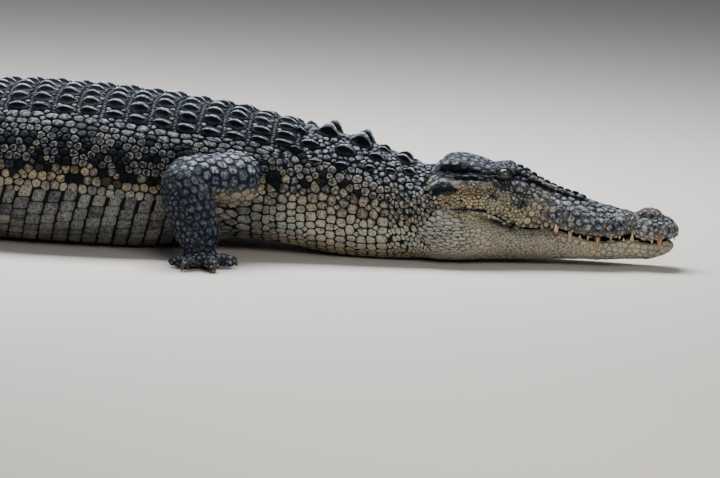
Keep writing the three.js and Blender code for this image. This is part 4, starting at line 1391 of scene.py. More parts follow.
def square_edges(chosen, directions):
    """Rounded squares that lean as their columns do."""
    angle = (np.arange(directions) + 0.5) * 2 * math.pi / directions
    c, s = np.cos(angle), np.sin(angle)
    reach = (np.abs(c) ** 7 + np.abs(s) ** 7) ** (-1 / 7)
    flat = np.stack([c, s], 1) * reach[:, None] * (half[chosen] * (1 - np.array(SQUARE_GAP) * 2))[:, None]
    flat[..., 0] += keel[chosen][:, None] * flat[..., 1] * np.sign(across[chosen][:, 2:])
    return flat, angle


def cell_edges(chosen, directions, first):
    """Edge of the chosen scales in some directions, in metres along run and across."""
    angle = first + np.arange(directions) * 2 * math.pi / directions
    cosine = np.cos(angle[None, :, None] - bearing[chosen][:, None, :])
    inverse = np.maximum(cosine, 0.0) / bound[chosen][:, None, :]
    limit = 0.74  # no edge runs further than 1 / this
    reach = (np.sum(inverse**SHARPNESS, axis=2) + limit**SHARPNESS) ** (-1 / SHARPNESS)
    reach = reach * (1 + rng.uniform(-0.035, 0.02, reach.shape))
    flat = np.stack([np.cos(angle) * reach * half[chosen, :1], np.sin(angle) * reach * half[chosen, 1:]], 2)
    length = np.linalg.norm(flat, axis=2, keepdims=True)
    return flat * np.maximum(1 - crease[chosen][:, None, None] / 2 / length, 0.35), angle


# %% [markdown]
# ## Markings
#
# The same rules colour the skin and its scales: how dark a place is, how golden, how pale, from wear
# and from painted highlight, and whether it lies in one of the black blotches that are strewn in loose
# rows down the flank. The same black is painted into the face's hollows and the mouth's crack, as shade.
# The rules speak of places on the animal, so every side gets them.

# %% Marking rules
# How dark, how golden, how black (blotches, and painted shade in hollows), how pale (wear, and painted
# highlight), how shiny, how dark the creases (painted shade), how red, and how evenly coloured.
MARKS = ("tone", "gold", "blot", "pale", "shine", "seam", "rust", "calm")
BLOTCH_ROWS = [(48, 78), (84, 74), (120, 70), (158, 72), (186, 78)]  # girth below the shields, pitch
# Behind, girth, half length and half height of the blotches on the neck and before the shoulder.
NECK_BLOTCHES = [
    (390, 237, 18, 26), (315, 218, 13, 15), (280, 189, 14, 13), (215, 179, 13, 14), (190, 208, 12, 14),
    (330, 157, 14, 12), (392, 137, 18, 11), (120, 235, 12, 12), (262, 262, 10, 10),
]


def blotch(along, length, down, height, soft):
    """1 inside an oval blotch, 0 outside."""
    return 1 - smooth(np.hypot(along / length, down / height), soft, 1.1)


def blotch_rows(behind, girth):
    """1 inside the black blotches of the neck, and of the flank, where they stand in staggered rows."""
    inside = np.zeros(len(behind))
    for s, g, length, height in np.array(NECK_BLOTCHES) / MM:
        inside = np.maximum(inside, blotch(behind - s, length, girth - g, height, 0.8))
    grown = girth_limit(behind) / GIRTH_OF_ROWS
    low = column_pitch(behind) * BAND
    for row, (middle, pitch) in enumerate(np.array(BLOTCH_ROWS) / MM):
        shifted = behind + row * 0.041
        count = np.round(shifted / pitch)
        first = np.sin(count * 12.9898 + row * 78.233) * 43758.5453 % 1
        second = np.sin(count * 39.346 + row * 11.135) * 24634.6345 % 1
        along = shifted - count * pitch - 0.022 * (first - 0.5)
        down_by = girth - low - (middle + 0.016 * (second - 0.5)) * grown
        spot = blotch(along, 0.014 + 0.013 * second, down_by, 0.015 + 0.008 * first, 0.85)
        inside = np.maximum(inside, spot * (first < 0.9) * (behind > 0.42))
    return inside


# Washes of colour on the head: the line they follow (forward, side, up), width, and what they set.
WASHES = {
    # Painted highlight: a high pale, as on the table, its edge, the cheek ridge, the brow rim, the lump and
    # the snout, paints light on tops and ridges, with some wear.
    "table": ([(0, 30, 250), (100, 30, 245)], 50, dict(tone=0.88, pale=0.6, seam=0.15, gold=0, calm=0.8)),
    "table edge": ([(0, 80, 246), (45, 81, 254), (90, 74, 246), (135, 67, 233)],
        7, dict(tone=0.85, pale=0.9, seam=0.25)),
    # Painted shade: the ear pit and the ear slit are painted black.
    "ear pit": ([(10, 94, 232), (68, 96, 232)], 16, dict(blot=0.95, pale=0, tone=1, seam=1)),
    "ear slit": ([(50, 92, 236), (134, 78, 222)], 5, dict(blot=1, pale=0, tone=1)),
    "ear flap": ([(50, 104, 219), (100, 98, 218), (132, 85, 216)], 5, dict(tone=1, pale=0.35, blot=0.3)),
    # Painted shade: the fold under the flap is painted black.
    "under the flap": ([(40, 112, 212.5), (134, 91, 208)], 4, dict(blot=0.95, pale=0, tone=1)),
    "cheek ridge": ([(-20, 116, 203), (47, 115, 205.5), (112, 101, 202)],
        7.5, dict(pale=1, tone=0.72, gold=0, blot=0, seam=0.2)),
    "dark bar": ([(-30, 118, 188), (38, 124, 190)], 10, dict(blot=0.95, tone=1, gold=0, seam=0.6, pale=0)),
    "golden cheek": ([(-20, 138, 163), (40, 140, 163), (100, 128, 164)],
        12, dict(gold=0.72, tone=0.14, pale=0.05, blot=0, seam=1)),
    "gold behind the eye": ([(50, 124, 185), (120, 110, 184)],
        10, dict(gold=0.7, tone=0.35, pale=0.1, rust=0.3)),
    "gold on the jaw": ([(45, 150, 134), (75, 148, 130)], 9, dict(gold=0.75, tone=0.08, seam=0.9)),
    # Painted shade: the crease to the mouth and the recess behind the eye are painted black.
    "crease to the mouth": ([(40, 142, 143), (120, 131, 138)], 3.5, dict(blot=0.85, tone=0.9)),
    "recess": ([(136, 108, 187), (142, 110, 172)], 8.5, dict(blot=0.8, tone=0.9, gold=0.2)),
    "lids": ([(146, 74, 226), (166, 76, 234), (190, 68, 222)],
        6, dict(tone=1, blot=0.75, pale=0, seam=0.4, gold=0)),
    "brow rim": ([(138, 70, 236), (163, 68, 246), (192, 58, 232)],
        6, dict(tone=0.75, pale=0.8, seam=0.3, gold=0)),
    "under the eye": ([(150, 96, 204), (186, 86, 203)], 7, dict(tone=0.3, gold=0.15, pale=0.3)),
    "lump": ([(197, 78, 199), (216, 73, 191)], 13, dict(pale=0.9, tone=0.75, blot=0, seam=0.2, gold=0)),
    "knobs": ([(196, 50, 223), (250, 40, 197), (300, 33, 175), (355, 26, 152)],
        11, dict(blot=0.75, tone=1, pale=0.3)),
    "teal patch": ([(196, 98, 152), (215, 92, 146)], 10, dict(tone=0.8, blot=0.12, gold=0.1)),
    "snout highlight": ([(240, 66, 176), (330, 58, 142)], 14, dict(pale=0.95, tone=0.55)),
    "snout highlight in front": ([(450, 40, 112), (470, 34, 114)], 13, dict(pale=0.95, tone=0.5)),
    "front of the snout": ([(520, 44, 88), (590, 15, 85)], 26, dict(tone=0.66, seam=0.3, pale=1)),
    "nose": ([(512, 10, 132), (544, 12, 130)],
        15, dict(tone=0.7, rust=1, gold=0, pale=0.25, seam=0.2, blot=0)),
    # Painted shade: the groove under the nose is painted black.
    "under the nose": ([(505, 34, 118), (545, 34, 114), (572, 16, 112)], 4, dict(blot=0.9, pale=0, rust=0)),
    "shade under the lip": ([(150, 128, 108), (200, 110, 80), (280, 85, 78)],
        11, dict(tone=0.7, gold=0, pale=0.45)),
    "smudge": ([(128, 140, 62), (140, 136, 66)], 7, dict(tone=1, blot=0.4)),
    "jaw muscle": ([(0, 163, 85), (60, 158, 80)],
        45, dict(tone=0.3, gold=0.05, seam=0.9, pale=0.35, blot=0)),
    "under the jaw": ([(60, 140, 12), (240, 85, 10)], 12, dict(rust=0.6, tone=0.4)),
    "chin": ([(340, 60, 22), (590, 15, 35)], 22, dict(gold=0.3, tone=0, seam=0.3, pale=0.6)),
}


def marks_at(points, groups):
    count = len(points)
    marks = {name: np.zeros(count) for name in MARKS}
    behind, girth = body_places(points)
    girth = np.abs(girth)
    share = girth / girth_limit(behind)
    low = column_pitch(behind) * BAND
    grown = girth_limit(behind) / GIRTH_OF_ROWS
    below = (girth - low) / grown  # how far below the shields
    tone = 0.95 - 0.13 * smooth(below, 0.0, 0.05) - 0.4 * smooth(below, 0.11, 0.18)
    tone += 0.12 * smooth(below, 0.18, 0.24)
    tone += 0.08 * band(share, 0.5, 0.68, 0.04)
    tail = smooth(behind, 1.45, 1.75)
    tone = tone * (1 - tail) + tail * (0.92 - 0.62 * smooth(share, 0.55, 0.86))
    neck = 1 - smooth(behind, 0.34, 0.44)
    neck_tone = 0.9 - 0.3 * smooth(share, 0.2, 0.36) - 0.38 * smooth(share, 0.44, 0.62)
    tone = tone * (1 - neck) + neck * neck_tone
    gold = (0.6 * band(below, 0.13, 0.18, 0.02) + 0.08) * (1 - neck) * (1 - tail)
    gold += neck * (0.55 * band(share, 0.36, 0.56, 0.07) + 0.45 * band(share, 0.7, 0.8, 0.05))
    blot = blotch_rows(behind, girth) * (1 - tail) * (1 - smooth(below, 0.2, 0.22))
    blot = blot * np.where(share > 0.47 - 0.03 * neck, 0, 1)
    stripes = band(np.abs((behind / 0.3 + 0.1 * np.sin(girth * 40)) % 1 - 0.5), 0.3, 0.6, 0.05)
    tone += tail * stripes * 0.25 * smooth(share, 0.3, 0.6)
    # pale paints the scales' tops lighter, partly as wear and partly as highlight, most on the back's shields
    # and the neck.
    pale = 0.5 * (1 - smooth(below, -0.01, 0.07)) + 0.15
    pale = pale * (1 - neck) + neck * (0.7 - 0.35 * smooth(share, 0.22, 0.4))
    shine = 0.85 - 0.55 * smooth(share, 0.25, 0.5)
    calm = 0.72 * smooth(share, 0.42, 0.52)
    trunk = dict(tone=tone, gold=gold, blot=blot, pale=pale, shine=shine, seam=1.0, calm=calm)
    for name, values in trunk.items():
        marks[name] = np.where(groups == 0, values, 0)
    head, limb = (groups == 1) | (groups == 2), groups >= LIMB
    for name, values in head_marks(points[head]).items():
        marks[name][head] = values
    for name, values in limb_marks(points[limb][:, 2], groups[limb]).items():
        marks[name][limb] = values
    return {name: np.clip(values, 0, 1) for name, values in marks.items()}


def head_marks(points):
    places = folded_head(points)
    forward, side, up = places.T
    line = mouth_line(forward)
    crown = smooth(up - line, 0.05, 0.09) * (1 - smooth(forward, 0.2, 0.3))
    snout = smooth(forward, 0.235, 0.31) * smooth(up - line, 0.01, 0.028)
    jaw = 1 - smooth(up - line, -0.006, 0.004)
    tone = 0.3 + 0.5 * crown + 0.46 * snout * (1 - crown)
    tone = tone * (1 - jaw) + jaw * 0.22
    gold = 0.42 * (1 - jaw) * (1 - crown) * (1 - snout) + 0.15 * jaw
    face = {"tone": tone, "gold": gold, "blot": 0 * tone, "rust": 0 * tone}
    # The crown and the snout are painted paler on their scales' tops, partly as wear and partly as highlight.
    face["pale"] = 0.24 * crown + 0.38 * snout + 0.2 + 0.1 * jaw
    face["shine"] = np.maximum(0.9 * crown, snout)
    face["seam"] = 0.85 - 0.3 * jaw - 0.5 * snout * (1 - jaw)
    face["calm"] = 0.5 * jaw + 0.5 * crown * (1 - jaw)
    lip = swell(up - line, 0.008, 0.007) * smooth(forward, 0.26, 0.31)
    washes = [(np.exp(-((distance_to_line(places, stroke) / (width / MM)) ** 4)), changes)
              for stroke, width, changes in WASHES.values()]
    for wash, changes in (*washes, (lip, dict(tone=0.3, pale=0.85, gold=0, blot=0, rust=0.1))):
        for name, value in changes.items():
            face[name] = face[name] * (1 - wash) + value * wash
    # The crack between the lips is painted black, as shade.
    gape = (np.abs(up - line) < mouth_gape(forward) + 0.0012) & (forward > MOUTH_CORNER) & (side > 0.005)
    face["blot"][gape] = 1.0
    return face


def limb_marks(height, groups):
    upper, lower = (groups - LIMB) % 3 == 0, (groups - LIMB) % 3 == 1
    fore = groups < LIMB + 6
    tone = np.where(upper, 0.9 - 0.45 * smooth(0.2 - height, 0.0, 0.04), np.where(lower, 0.95, 0.85))
    return {
        "tone": np.where(fore, tone, tone * 0.95 - 0.15 * smooth(0.12 - height, 0, 0.06) * upper),
        # The tops of the upper legs are painted pale, as highlight and wear.
        "pale": np.where(upper, 0.3 + 0.7 * smooth(height, 0.205, 0.24), np.where(lower, 0.28, 0.45)),
        "gold": np.where(upper, 0.45 * (1 - smooth(height, 0.16, 0.2)), 0.0),
        "blot": np.where(lower, 0.3, 0.0),
        "calm": np.where(upper, 0.3, 0.0),
        "shine": 0.75,
        "seam": 0.65,
    }


scale_groups = nearest_group(place)
scale_marks = marks_at(place, scale_groups)
between_rows = (kind == KIND["bead"]) & (piece == PIECE["back_shields"])
scale_marks["pale"][between_rows] *= 0.25
chance = rng.random(len(place))
print("blotched scales:", int((scale_marks["blot"] > 0.5).sum()))

# %% [markdown]
# ## Materials
#
# Hide is dull and warm in its creases, which are painted dark as shade, and shinier on its tops, which
# are painted pale, partly as wear and partly as highlight. One material serves skin and scales alike.
# It reads, from each vertex, how dark, golden, pale and shiny the place is, how black from blotches and
# painted shade, how far towards a scale's rim it lies and whether it is a keel's crest, and adds mottling,
# pores and fine cracks in the object's own coordinates.

# %% Node helpers
def linear(red, green, blue):
    """A colour given as it looks on screen, 0 to 255, in the renderer's own linear values."""
    values = np.array((red, green, blue)) / 255
    return tuple(np.where(values <= 0.04045, values / 12.92, ((values + 0.055) / 1.055) ** 2.4)) + (1.0,)


class Nodes:
    """Adds nodes to a material's tree and links them, one short call each."""

    def __init__(self, name):
        self.material = bpy.data.materials.new(name)
        self.material.use_nodes = True
        self.tree = self.material.node_tree
        self.shader = self.tree.nodes["Principled BSDF"]

    def put(self, socket, value):
        if isinstance(value, bpy.types.NodeSocket):
            self.tree.links.new(value, socket)
        else:
            socket.default_value = value

    def attribute(self, name):
        node = self.tree.nodes.new("ShaderNodeAttribute")
        node.attribute_name = name
        return node.outputs["Fac"]

    def math(self, operation, first, second=0.0, third=0.0):
        node = self.tree.nodes.new("ShaderNodeMath")
        node.operation = operation
        for socket, value in zip(node.inputs, (first, second, third)):
            self.put(socket, value)
        return node.outputs[0]

    def plus(self, first, second):
        return self.math("ADD", first, second)

    def minus(self, first, second):
        return self.math("SUBTRACT", first, second)

    def times(self, first, second):
        return self.math("MULTIPLY", first, second)

    def line(self, value, slope, start):
        return self.math("MULTIPLY_ADD", value, slope, start)

    def ramp(self, value, low, high, start=0.0, end=1.0):
        node = self.tree.nodes.new("ShaderNodeMapRange")
        node.interpolation_type = "SMOOTHSTEP"
        for socket, item in zip(node.inputs, (value, low, high, start, end)):
            self.put(socket, item)
        return node.outputs[0]

    def mix(self, share, first, second):
        node = self.tree.nodes.new("ShaderNodeMix")
        node.data_type = "RGBA"
        for socket, item in ((0, share), (6, first), (7, second)):
            self.put(node.inputs[socket], item)
        return node.outputs[2]

    def place(self):
        return self.tree.nodes.new("ShaderNodeTexCoord").outputs["Object"]

    def noise(self, scale, detail=3.0, roughness=0.55):
        node = self.tree.nodes.new("ShaderNodeTexNoise")
        settings = {"Vector": self.place(), "Scale": scale, "Detail": detail, "Roughness": roughness}
        for name, value in settings.items():
            self.put(node.inputs[name], value)
        return node.outputs["Fac"]

    def cracks(self, scale):
        node = self.tree.nodes.new("ShaderNodeTexVoronoi")
        node.feature = "DISTANCE_TO_EDGE"
        self.put(node.inputs["Vector"], self.place())
        self.put(node.inputs["Scale"], scale)
        return node.outputs["Distance"]

    def bump(self, height, distance, strength=1.0):
        node = self.tree.nodes.new("ShaderNodeBump")
        for name, value in (("Height", height), ("Distance", distance), ("Strength", strength)):
            self.put(node.inputs[name], value)
        self.put(self.shader.inputs["Normal"], node.outputs[0])

    def surface(self, settings):
        """Fills in the shader's sockets by their names and gives back the material."""
        for name, value in settings.items():
            self.put(self.shader.inputs[name], value)
        return self.material


# %% Hide
# rim also sets where creases are painted dark as shade; crest and steep set where keels are painted pale as
# highlight and dark as shade.
SHAPE_VALUES = ("rim", "crest", "steep", "ring", "chance")


def hide_material():
    n = Nodes("hide")
    tone, gold, blot, pale, shine, seam, rust, calm = (n.attribute(name) for name in MARKS)
    rim, crest, steep, ring, chance = (n.attribute(name) for name in SHAPE_VALUES)
    mottle = n.noise(38.0, 4.0)
    fleck = n.noise(118.0, 4.0, 0.62)
    speck = n.ramp(fleck, 0.42, 0.58)
    grain = n.noise(430.0, 3.0, 0.6)
    patchy = n.noise(9.0, 2.0)
    wild = n.minus(1.0, calm)
    own_shade = n.times(n.minus(chance, 0.5), n.line(wild, 0.18, 0.16))  # each scale's own
    tone = n.plus(tone, own_shade)
    cloud = n.plus(n.line(mottle, 0.6, -0.3), n.line(speck, -0.26, 0.13))
    tone = n.plus(tone, n.times(cloud, wild))
    light = n.mix(n.ramp(patchy, 0.35, 0.65), linear(188, 178, 155), linear(160, 164, 150))
    light = n.mix(gold, light, linear(180, 155, 104))
    slate = n.mix(n.ramp(patchy, 0.4, 0.6), linear(10, 33, 53), linear(28, 35, 50))
    colour = n.mix(n.ramp(tone, 0.1, 0.9), light, slate)
    colour = n.mix(n.times(rust, 0.75), colour, linear(118, 88, 82))
    heart = n.times(ring, n.ramp(rim, 0.7, 0.42))
    colour = n.mix(n.times(heart, 0.9), colour, linear(12, 16, 22))
    halo = n.times(n.times(ring, n.ramp(rim, 0.52, 0.68)), n.ramp(rim, 0.97, 0.86))
    halo = n.times(halo, speck)
    colour = n.mix(n.times(halo, 0.75), colour, n.mix(gold, linear(150, 150, 142), linear(176, 150, 108)))
    # A pale lilac wash on each scale's top, partly wear and partly painted highlight.
    wear_and_highlight = n.times(pale, n.ramp(rim, 0.92, 0.5))
    wear_and_highlight = n.times(wear_and_highlight, n.line(speck, 0.92, 0.08))
    colour = n.mix(n.times(wear_and_highlight, 0.8), colour, linear(196, 198, 214))
    # Black blotches, and black painted as shade into the face's hollows and the mouth's crack.
    colour = n.mix(n.times(blot, n.ramp(mottle, 0.2, 0.4, 0.85, 1.0)), colour, linear(4, 11, 21))
    # The keels' steep sides are painted near black, as shade.
    colour = n.mix(n.times(steep, 0.96), colour, linear(2, 6, 12))
    # Keel crests are painted pale blue-white, partly as wear and partly as highlight.
    colour = n.mix(n.times(crest, n.line(speck, 0.5, 0.45)), colour, linear(214, 220, 232))
    # Each scale's rim, and the skin between scales, is painted dark as crease shade, warmer where golden.
    edge = n.times(n.ramp(rim, 0.88, 1.0), seam)
    colour = n.mix(n.times(edge, 0.97), colour, n.mix(gold, linear(7, 9, 12), linear(16, 11, 8)))
    pits = n.times(n.ramp(n.noise(210.0, 3.0, 0.6), 0.52, 0.62), n.line(seam, 0.6, 0.1))
    colour = n.mix(pits, colour, linear(9, 12, 16))
    rough = n.line(shine, -0.34, 0.66)
    rough = n.math("MAXIMUM", rough, n.times(n.math("MAXIMUM", edge, steep), 0.92))
    rough = n.line(grain, 0.18, n.minus(rough, 0.09))
    cracks = n.ramp(n.cracks(260.0), 0.0, 0.16)
    relief = n.line(grain, 0.35, n.line(fleck, 0.8, n.times(cracks, 0.35)))
    n.bump(relief, 0.002)
    return n.surface({"Base Color": colour, "Roughness": rough, "Specular IOR Level": 0.13})


HIDE = hide_material()
print("material:", HIDE.name)

# %% [markdown]
# ## Building the scales
#
# Every scale is a small closed solid: an edge pressed onto the skin, a wall that goes a little way
# into it, and rings that rise to the middle. A shield also carries a keel, an arched ridge along
# its middle whose steep sides are painted dark, as shade, and whose crest is painted pale, partly as
# wear and partly as highlight. All scales of one kind are worked out at once as arrays, and those of one
# region become one mesh.

# %% Make the solids of one kind
ROOT_DEPTH = 0.003
PATCH = 0.0015  # half the size of a scale's patch on its map
FLOOR_GAP = 0.0006  # no scale comes lower than this
LEAST_HEIGHT = 0.0008
TALL_KEEL = 0.024  # a higher keel than this ends in a point
KEEL_FOOT = 0.56  # half width of a keel's foot, for a shield whose half width is 1


def keel_shape(u, v):
    """A keel over a shield whose half sides are 1: its height, how steep it is there, whether crest. The
    steep sides get painted shade and the crest painted highlight.
    """
    arch = np.maximum(0, 1 - np.abs((u + 0.1) / 0.98) ** 2.0)
    foot = KEEL_FOOT * np.sqrt(arch) + 1e-6
    side = np.abs(v) / foot
    crest = (1 - smooth(np.abs(v), 0.035, 0.085)) * smooth(arch, 0.1, 0.45)
    steep = (side < 1) * smooth(foot - np.abs(v), 0.0, 0.08) * smooth(arch, 0.05, 0.25)
    return arch * np.maximum(0, 1 - side) ** 0.8, steep * (1 - crest), crest


def pressed_edge(name, chosen, directions, first):
    """The scales' edges on the skin: places, normals, sag from flat, both flat offsets, and angles."""
    if name == "square":
        flat, angle = square_edges(chosen, directions)
    else:
        flat, angle = cell_edges(chosen, directions, first)
    along, beside = flat[..., :1] * run[chosen][:, None], flat[..., 1:] * across[chosen][:, None]
    root, up = place[chosen][:, None], normal[chosen][:, None]
    guess = root + along + beside
    edge, edge_up, away = on_hide(guess.reshape(-1, 3))
    astray = away.reshape(guess.shape[:2]) > 0.35 * half[chosen].min(1)[:, None]
    edge = np.where(astray[..., None], guess * 0.6 + root * 0.4, edge.reshape(guess.shape))
    edge_up = edge_up.reshape(guess.shape)
    bent = (edge_up * up).sum(2) < 0.2
    return edge, np.where(bent[..., None], up, edge_up), edge - guess, along, beside, angle


def scale_solids(name, chosen):
    """Points of the chosen scales, the faces of one, and what its material needs at each point."""
    directions, rise, rings = KINDS[name]
    count = len(chosen)
    first = math.pi / directions if name == "plate" else 0.0
    edge, edge_up, sag, along, beside, angle = pressed_edge(name, chosen, directions, first)
    root, up = place[chosen], normal[chosen]
    low = half[chosen].min(1)
    flatter = np.where(scale_groups[chosen] >= LIMB, 0.65, 1.0)  # a leg's scales lie flatter
    height = np.maximum(rise * low * (0.75 + 0.5 * chance[chosen]) * flatter, LEAST_HEIGHT)
    rough = 0.13 if name not in ("shield", "square", "smooth") else 0.05
    bumps = 1 + rng.normal(0, rough, (len(rings), count, directions))
    tilt = rng.normal(0, 0.35 * rough, (2, count, 1)) * low[:, None]
    keels = keel[chosen][:, None] * (name == "shield")
    keeled = (keels > 0.002) * 1.0
    pointed = np.where(keels > TALL_KEEL, 1.6, 1.0)
    layers, rims, crests, slopes = [edge - edge_up * ROOT_DEPTH], [1.0], [0 * bumps[0]], [0 * bumps[0]]
    for level, (share, tall, width) in enumerate(rings):
        u, v = np.cos(angle) * share, np.sin(angle) * share * width
        ridge, steep, line = keel_shape(u, v)
        lifted = unit(edge_up * share + up[:, None] * (1 - share))
        ridge = ridge[None, :] ** pointed
        rise_here = height[:, None] * tall * bumps[level] + keels * ridge + tilt[0] * u + tilt[1] * v
        base = root[:, None] + along * share + beside * share * width + sag * share**2 * width
        layers.append(base + lifted * rise_here[..., None])
        rims.append(share)
        crests.append(keeled * line)
        slopes.append(keeled * steep)
    peak = float(keel_shape(np.array(0.0), np.array(0.0))[0])
    top = root + up * (height * SUNK_MIDDLE.get(name, 1.0) + keels[:, 0] * peak)[:, None]
    vertices = np.concatenate([np.stack(layers, 1).reshape(count, -1, 3), top[:, None]], 1)
    levels = len(layers)
    faces = walls(levels, directions) + fan((levels - 1) * directions, directions, levels * directions)
    faces.append(tuple(range(directions))[::-1])
    rim = np.concatenate([np.repeat(rims, directions), [0.0]])
    crest = np.concatenate([np.stack(crests, 1).reshape(count, -1), keeled], 1)
    steep = np.concatenate([np.stack(slopes, 1).reshape(count, -1), 0 * keeled], 1)
    around = np.concatenate([np.tile(angle, levels), [0.0]])
    offsets = np.stack([np.cos(around), np.sin(around)], 1) * rim[:, None] * PATCH
    return vertices, faces, rim, crest, steep, offsets


def patch_roots(number, chosen):
    """Each scale's place on an unwrap of the skin: round and along the body, the head or the leg."""
    name = HIDE_PIECES[number]
    points = place[chosen]
    if name.startswith(("fore", "hind")):
        leg = name.removesuffix("_scales")
        shares = np.zeros((len(points), 2))
        for third, length in enumerate(("upper", "lower", "foot")):
            start, end = LIMB_AXES[f"{leg}_{length}"]
            mine = scale_groups[chosen] == GROUPS.index(f"{leg}_{length}")
            axis = unit(end - start)
            along = (points - start) @ axis / np.linalg.norm(end - start)
            side_axis = unit(np.cross(axis, (0.3, 0.2, 1.0)))
            out = points - start - np.outer((points - start) @ axis, axis)
            turn = np.arctan2(out @ np.cross(axis, side_axis), out @ side_axis) / (2 * math.pi) + 0.5
            low = (third + np.clip((along + 1.2) / 4.4, 0, 1)) / 3
            shares[mine] = np.stack([low, turn], 1)[mine]
    elif name in ("head_scales", "jaw_scales"):
        forward, side, up = head_places(points)
        turn = np.arctan2(side, up - 0.12) / (2 * math.pi) + 0.5
        shares = np.stack([(forward + 0.12) / 0.74, turn], 1)
    else:
        behind, girth = body_places(points)
        low, high = behind.min(), behind.max()
        shares = np.stack([(behind - low) / (high - low), girth / girth_limit(behind) * 0.5 + 0.5], 1)
    return 0.01 + 0.98 * np.clip(shares, 0, 1)


RINGED = {"ring": 1.0, "oval": 0.6, "knob": 0.35}  # how strongly a kind has a dark heart with a pale ring


def make_coat_piece(number):
    """Joins the scales of one region into one mesh with their marks and their map."""
    vertices, faces, map_places, start = [], [], [], 0
    values = {name: [] for name in (*MARKS, *SHAPE_VALUES)}
    for name, code in KIND.items():
        chosen = np.flatnonzero((piece == number) & (kind == code))
        if not len(chosen):
            continue
        solids, pattern, rim, crest, steep, offsets = scale_solids(name, chosen)
        count, size = solids.shape[:2]
        for base in range(start, start + count * size, size):
            faces += [tuple(base + k for k in face) for face in pattern]
        vertices.append(solids.reshape(-1, 3))
        start += count * size
        for mark in MARKS:
            values[mark].append(np.repeat(scale_marks[mark][chosen], size))
        ringed = np.full(count * size, RINGED.get(name, 0.0))
        chances = np.repeat(chance[chosen], size)
        shape_values = (np.tile(rim, count), crest.ravel(), steep.ravel(), ringed, chances)
        for label, found in zip(SHAPE_VALUES, shape_values):
            values[label].append(found)
        map_places.append((patch_roots(number, chosen)[:, None] + offsets[None]).reshape(-1, 2))
    vertices = np.vstack(vertices)
    vertices[:, 2] = np.maximum(vertices[:, 2], FLOOR_GAP)
    made = new_object(HIDE_PIECES[number], new_mesh(HIDE_PIECES[number], vertices, faces))
    for label, parts in values.items():
        set_values(made.data, label, np.concatenate(parts))
    set_map(made.data, np.vstack(map_places))
    shade_smooth(made.data)
    made.data.materials.append(HIDE)
    return made


# %% Dress the body
SLOT_OF = {"head_scales": "head_skin", "jaw_scales": "jaw_skin"}
coat = []  # (object, slot)
for number, name in enumerate(HIDE_PIECES):
    made = make_coat_piece(number)
    triangles = sum(len(face.vertices) - 2 for face in made.data.polygons)
    coat.append((made, SLOT_OF.get(name, "limb_skin" if name[:4] in ("fore", "hind") else "body_skin")))
    print(f"{name}: {int((piece == number).sum())} scales, {triangles} triangles")

# %% [markdown]
# ## Finishing the skin
#
# The skin shows only in the creases and round the eyes, mouth and nostrils, so away from the head
# it is thinned: edges on smooth stretches collapse first. It takes the same marks as the scales, and
# counts everywhere as a scale's rim, so it takes the dark crease colour, as painted shade.

# %% Thin the skin and mark it
plain = skin.vertex_groups.new(name="plain")
forward = head_places(vertex_array(skin.data))[0]
plain.add(np.flatnonzero(forward < -0.06).tolist(), 1.0, "REPLACE")
thin = skin.modifiers.new("thin", "DECIMATE")
thin.vertex_group = "plain"
thin.ratio = 0.22
applied(skin)
skin.vertex_groups.clear()
points = vertex_array(skin.data)
for name, values in marks_at(points, nearest_group(points)).items():
    set_values(skin.data, name, values)
# Every skin vertex counts as a scale's rim, so the skin takes the dark crease colour, as painted shade.
for name in SHAPE_VALUES:
    set_values(skin.data, name, np.full(len(points), name == "rim"))
skin.data.materials.clear()
skin.data.materials.append(HIDE)
shade_smooth(skin.data)
print("skin:", len(points), "vertices")

# %% [markdown]
# ## Eyes, teeth, claws and the tail's crest
#
# These are separate on the animal too: horn sheaths over bone, teeth in sockets, a wet ball behind
# the lids, and tall saws of hide along the tail. One pattern of each is made, and geometry nodes
# set it wherever it belongs, turned and sized by what each place carries.

# %% Set one pattern in many places
def turning(run, up):
    """Euler angles that lay a pattern's x along run and its z along up."""
    run, up = unit(run), unit(up)
    across = unit(np.cross(up, run))
    lifted = np.cross(run, across)
    return np.array([Matrix(np.stack([r, a, l], 1)).to_euler() for r, a, l in zip(run, across, lifted)])


# What goes into and out of the setter, its nodes, and which output feeds which input.
SETTER_SOCKETS = [("Geometry", "INPUT", "Geometry"), ("Pattern", "INPUT", "Object"),
                  ("Scale", "INPUT", "Float"), ("Size Spread", "INPUT", "Float"),
                  ("Set", "OUTPUT", "Geometry")]
SETTER_NODES = {
    "given": "NodeGroupInput", "points": "GeometryNodeMeshToPoints", "info": "GeometryNodeObjectInfo",
    "turn": "GeometryNodeInputNamedAttribute", "size": "GeometryNodeInputNamedAttribute",
    "rotation": "FunctionNodeEulerToRotation", "chance": "FunctionNodeRandomValue", "least": "ShaderNodeMath",
    "grown": "ShaderNodeMath", "sized": "ShaderNodeVectorMath", "placed": "GeometryNodeInstanceOnPoints",
    "real": "GeometryNodeRealizeInstances", "paint": "GeometryNodeSetMaterial", "made": "NodeGroupOutput",
}
SETTER_LINKS = [
    ("given", "Geometry", "points", "Mesh"), ("points", "Points", "placed", "Points"),
    ("given", "Pattern", "info", "Object"), ("info", "Geometry", "placed", "Instance"),
    ("turn", 0, "rotation", 0), ("rotation", 0, "placed", "Rotation"),
    ("given", "Size Spread", "least", 1), ("least", 0, "chance", 2), ("chance", 1, "grown", 0),
    ("given", "Scale", "grown", 1), ("size", 0, "sized", 0), ("grown", 0, "sized", "Scale"),
    ("sized", 0, "placed", "Scale"), ("placed", "Instances", "real", "Geometry"),
    ("real", "Geometry", "paint", "Geometry"), ("paint", "Geometry", "made", "Set"),
]


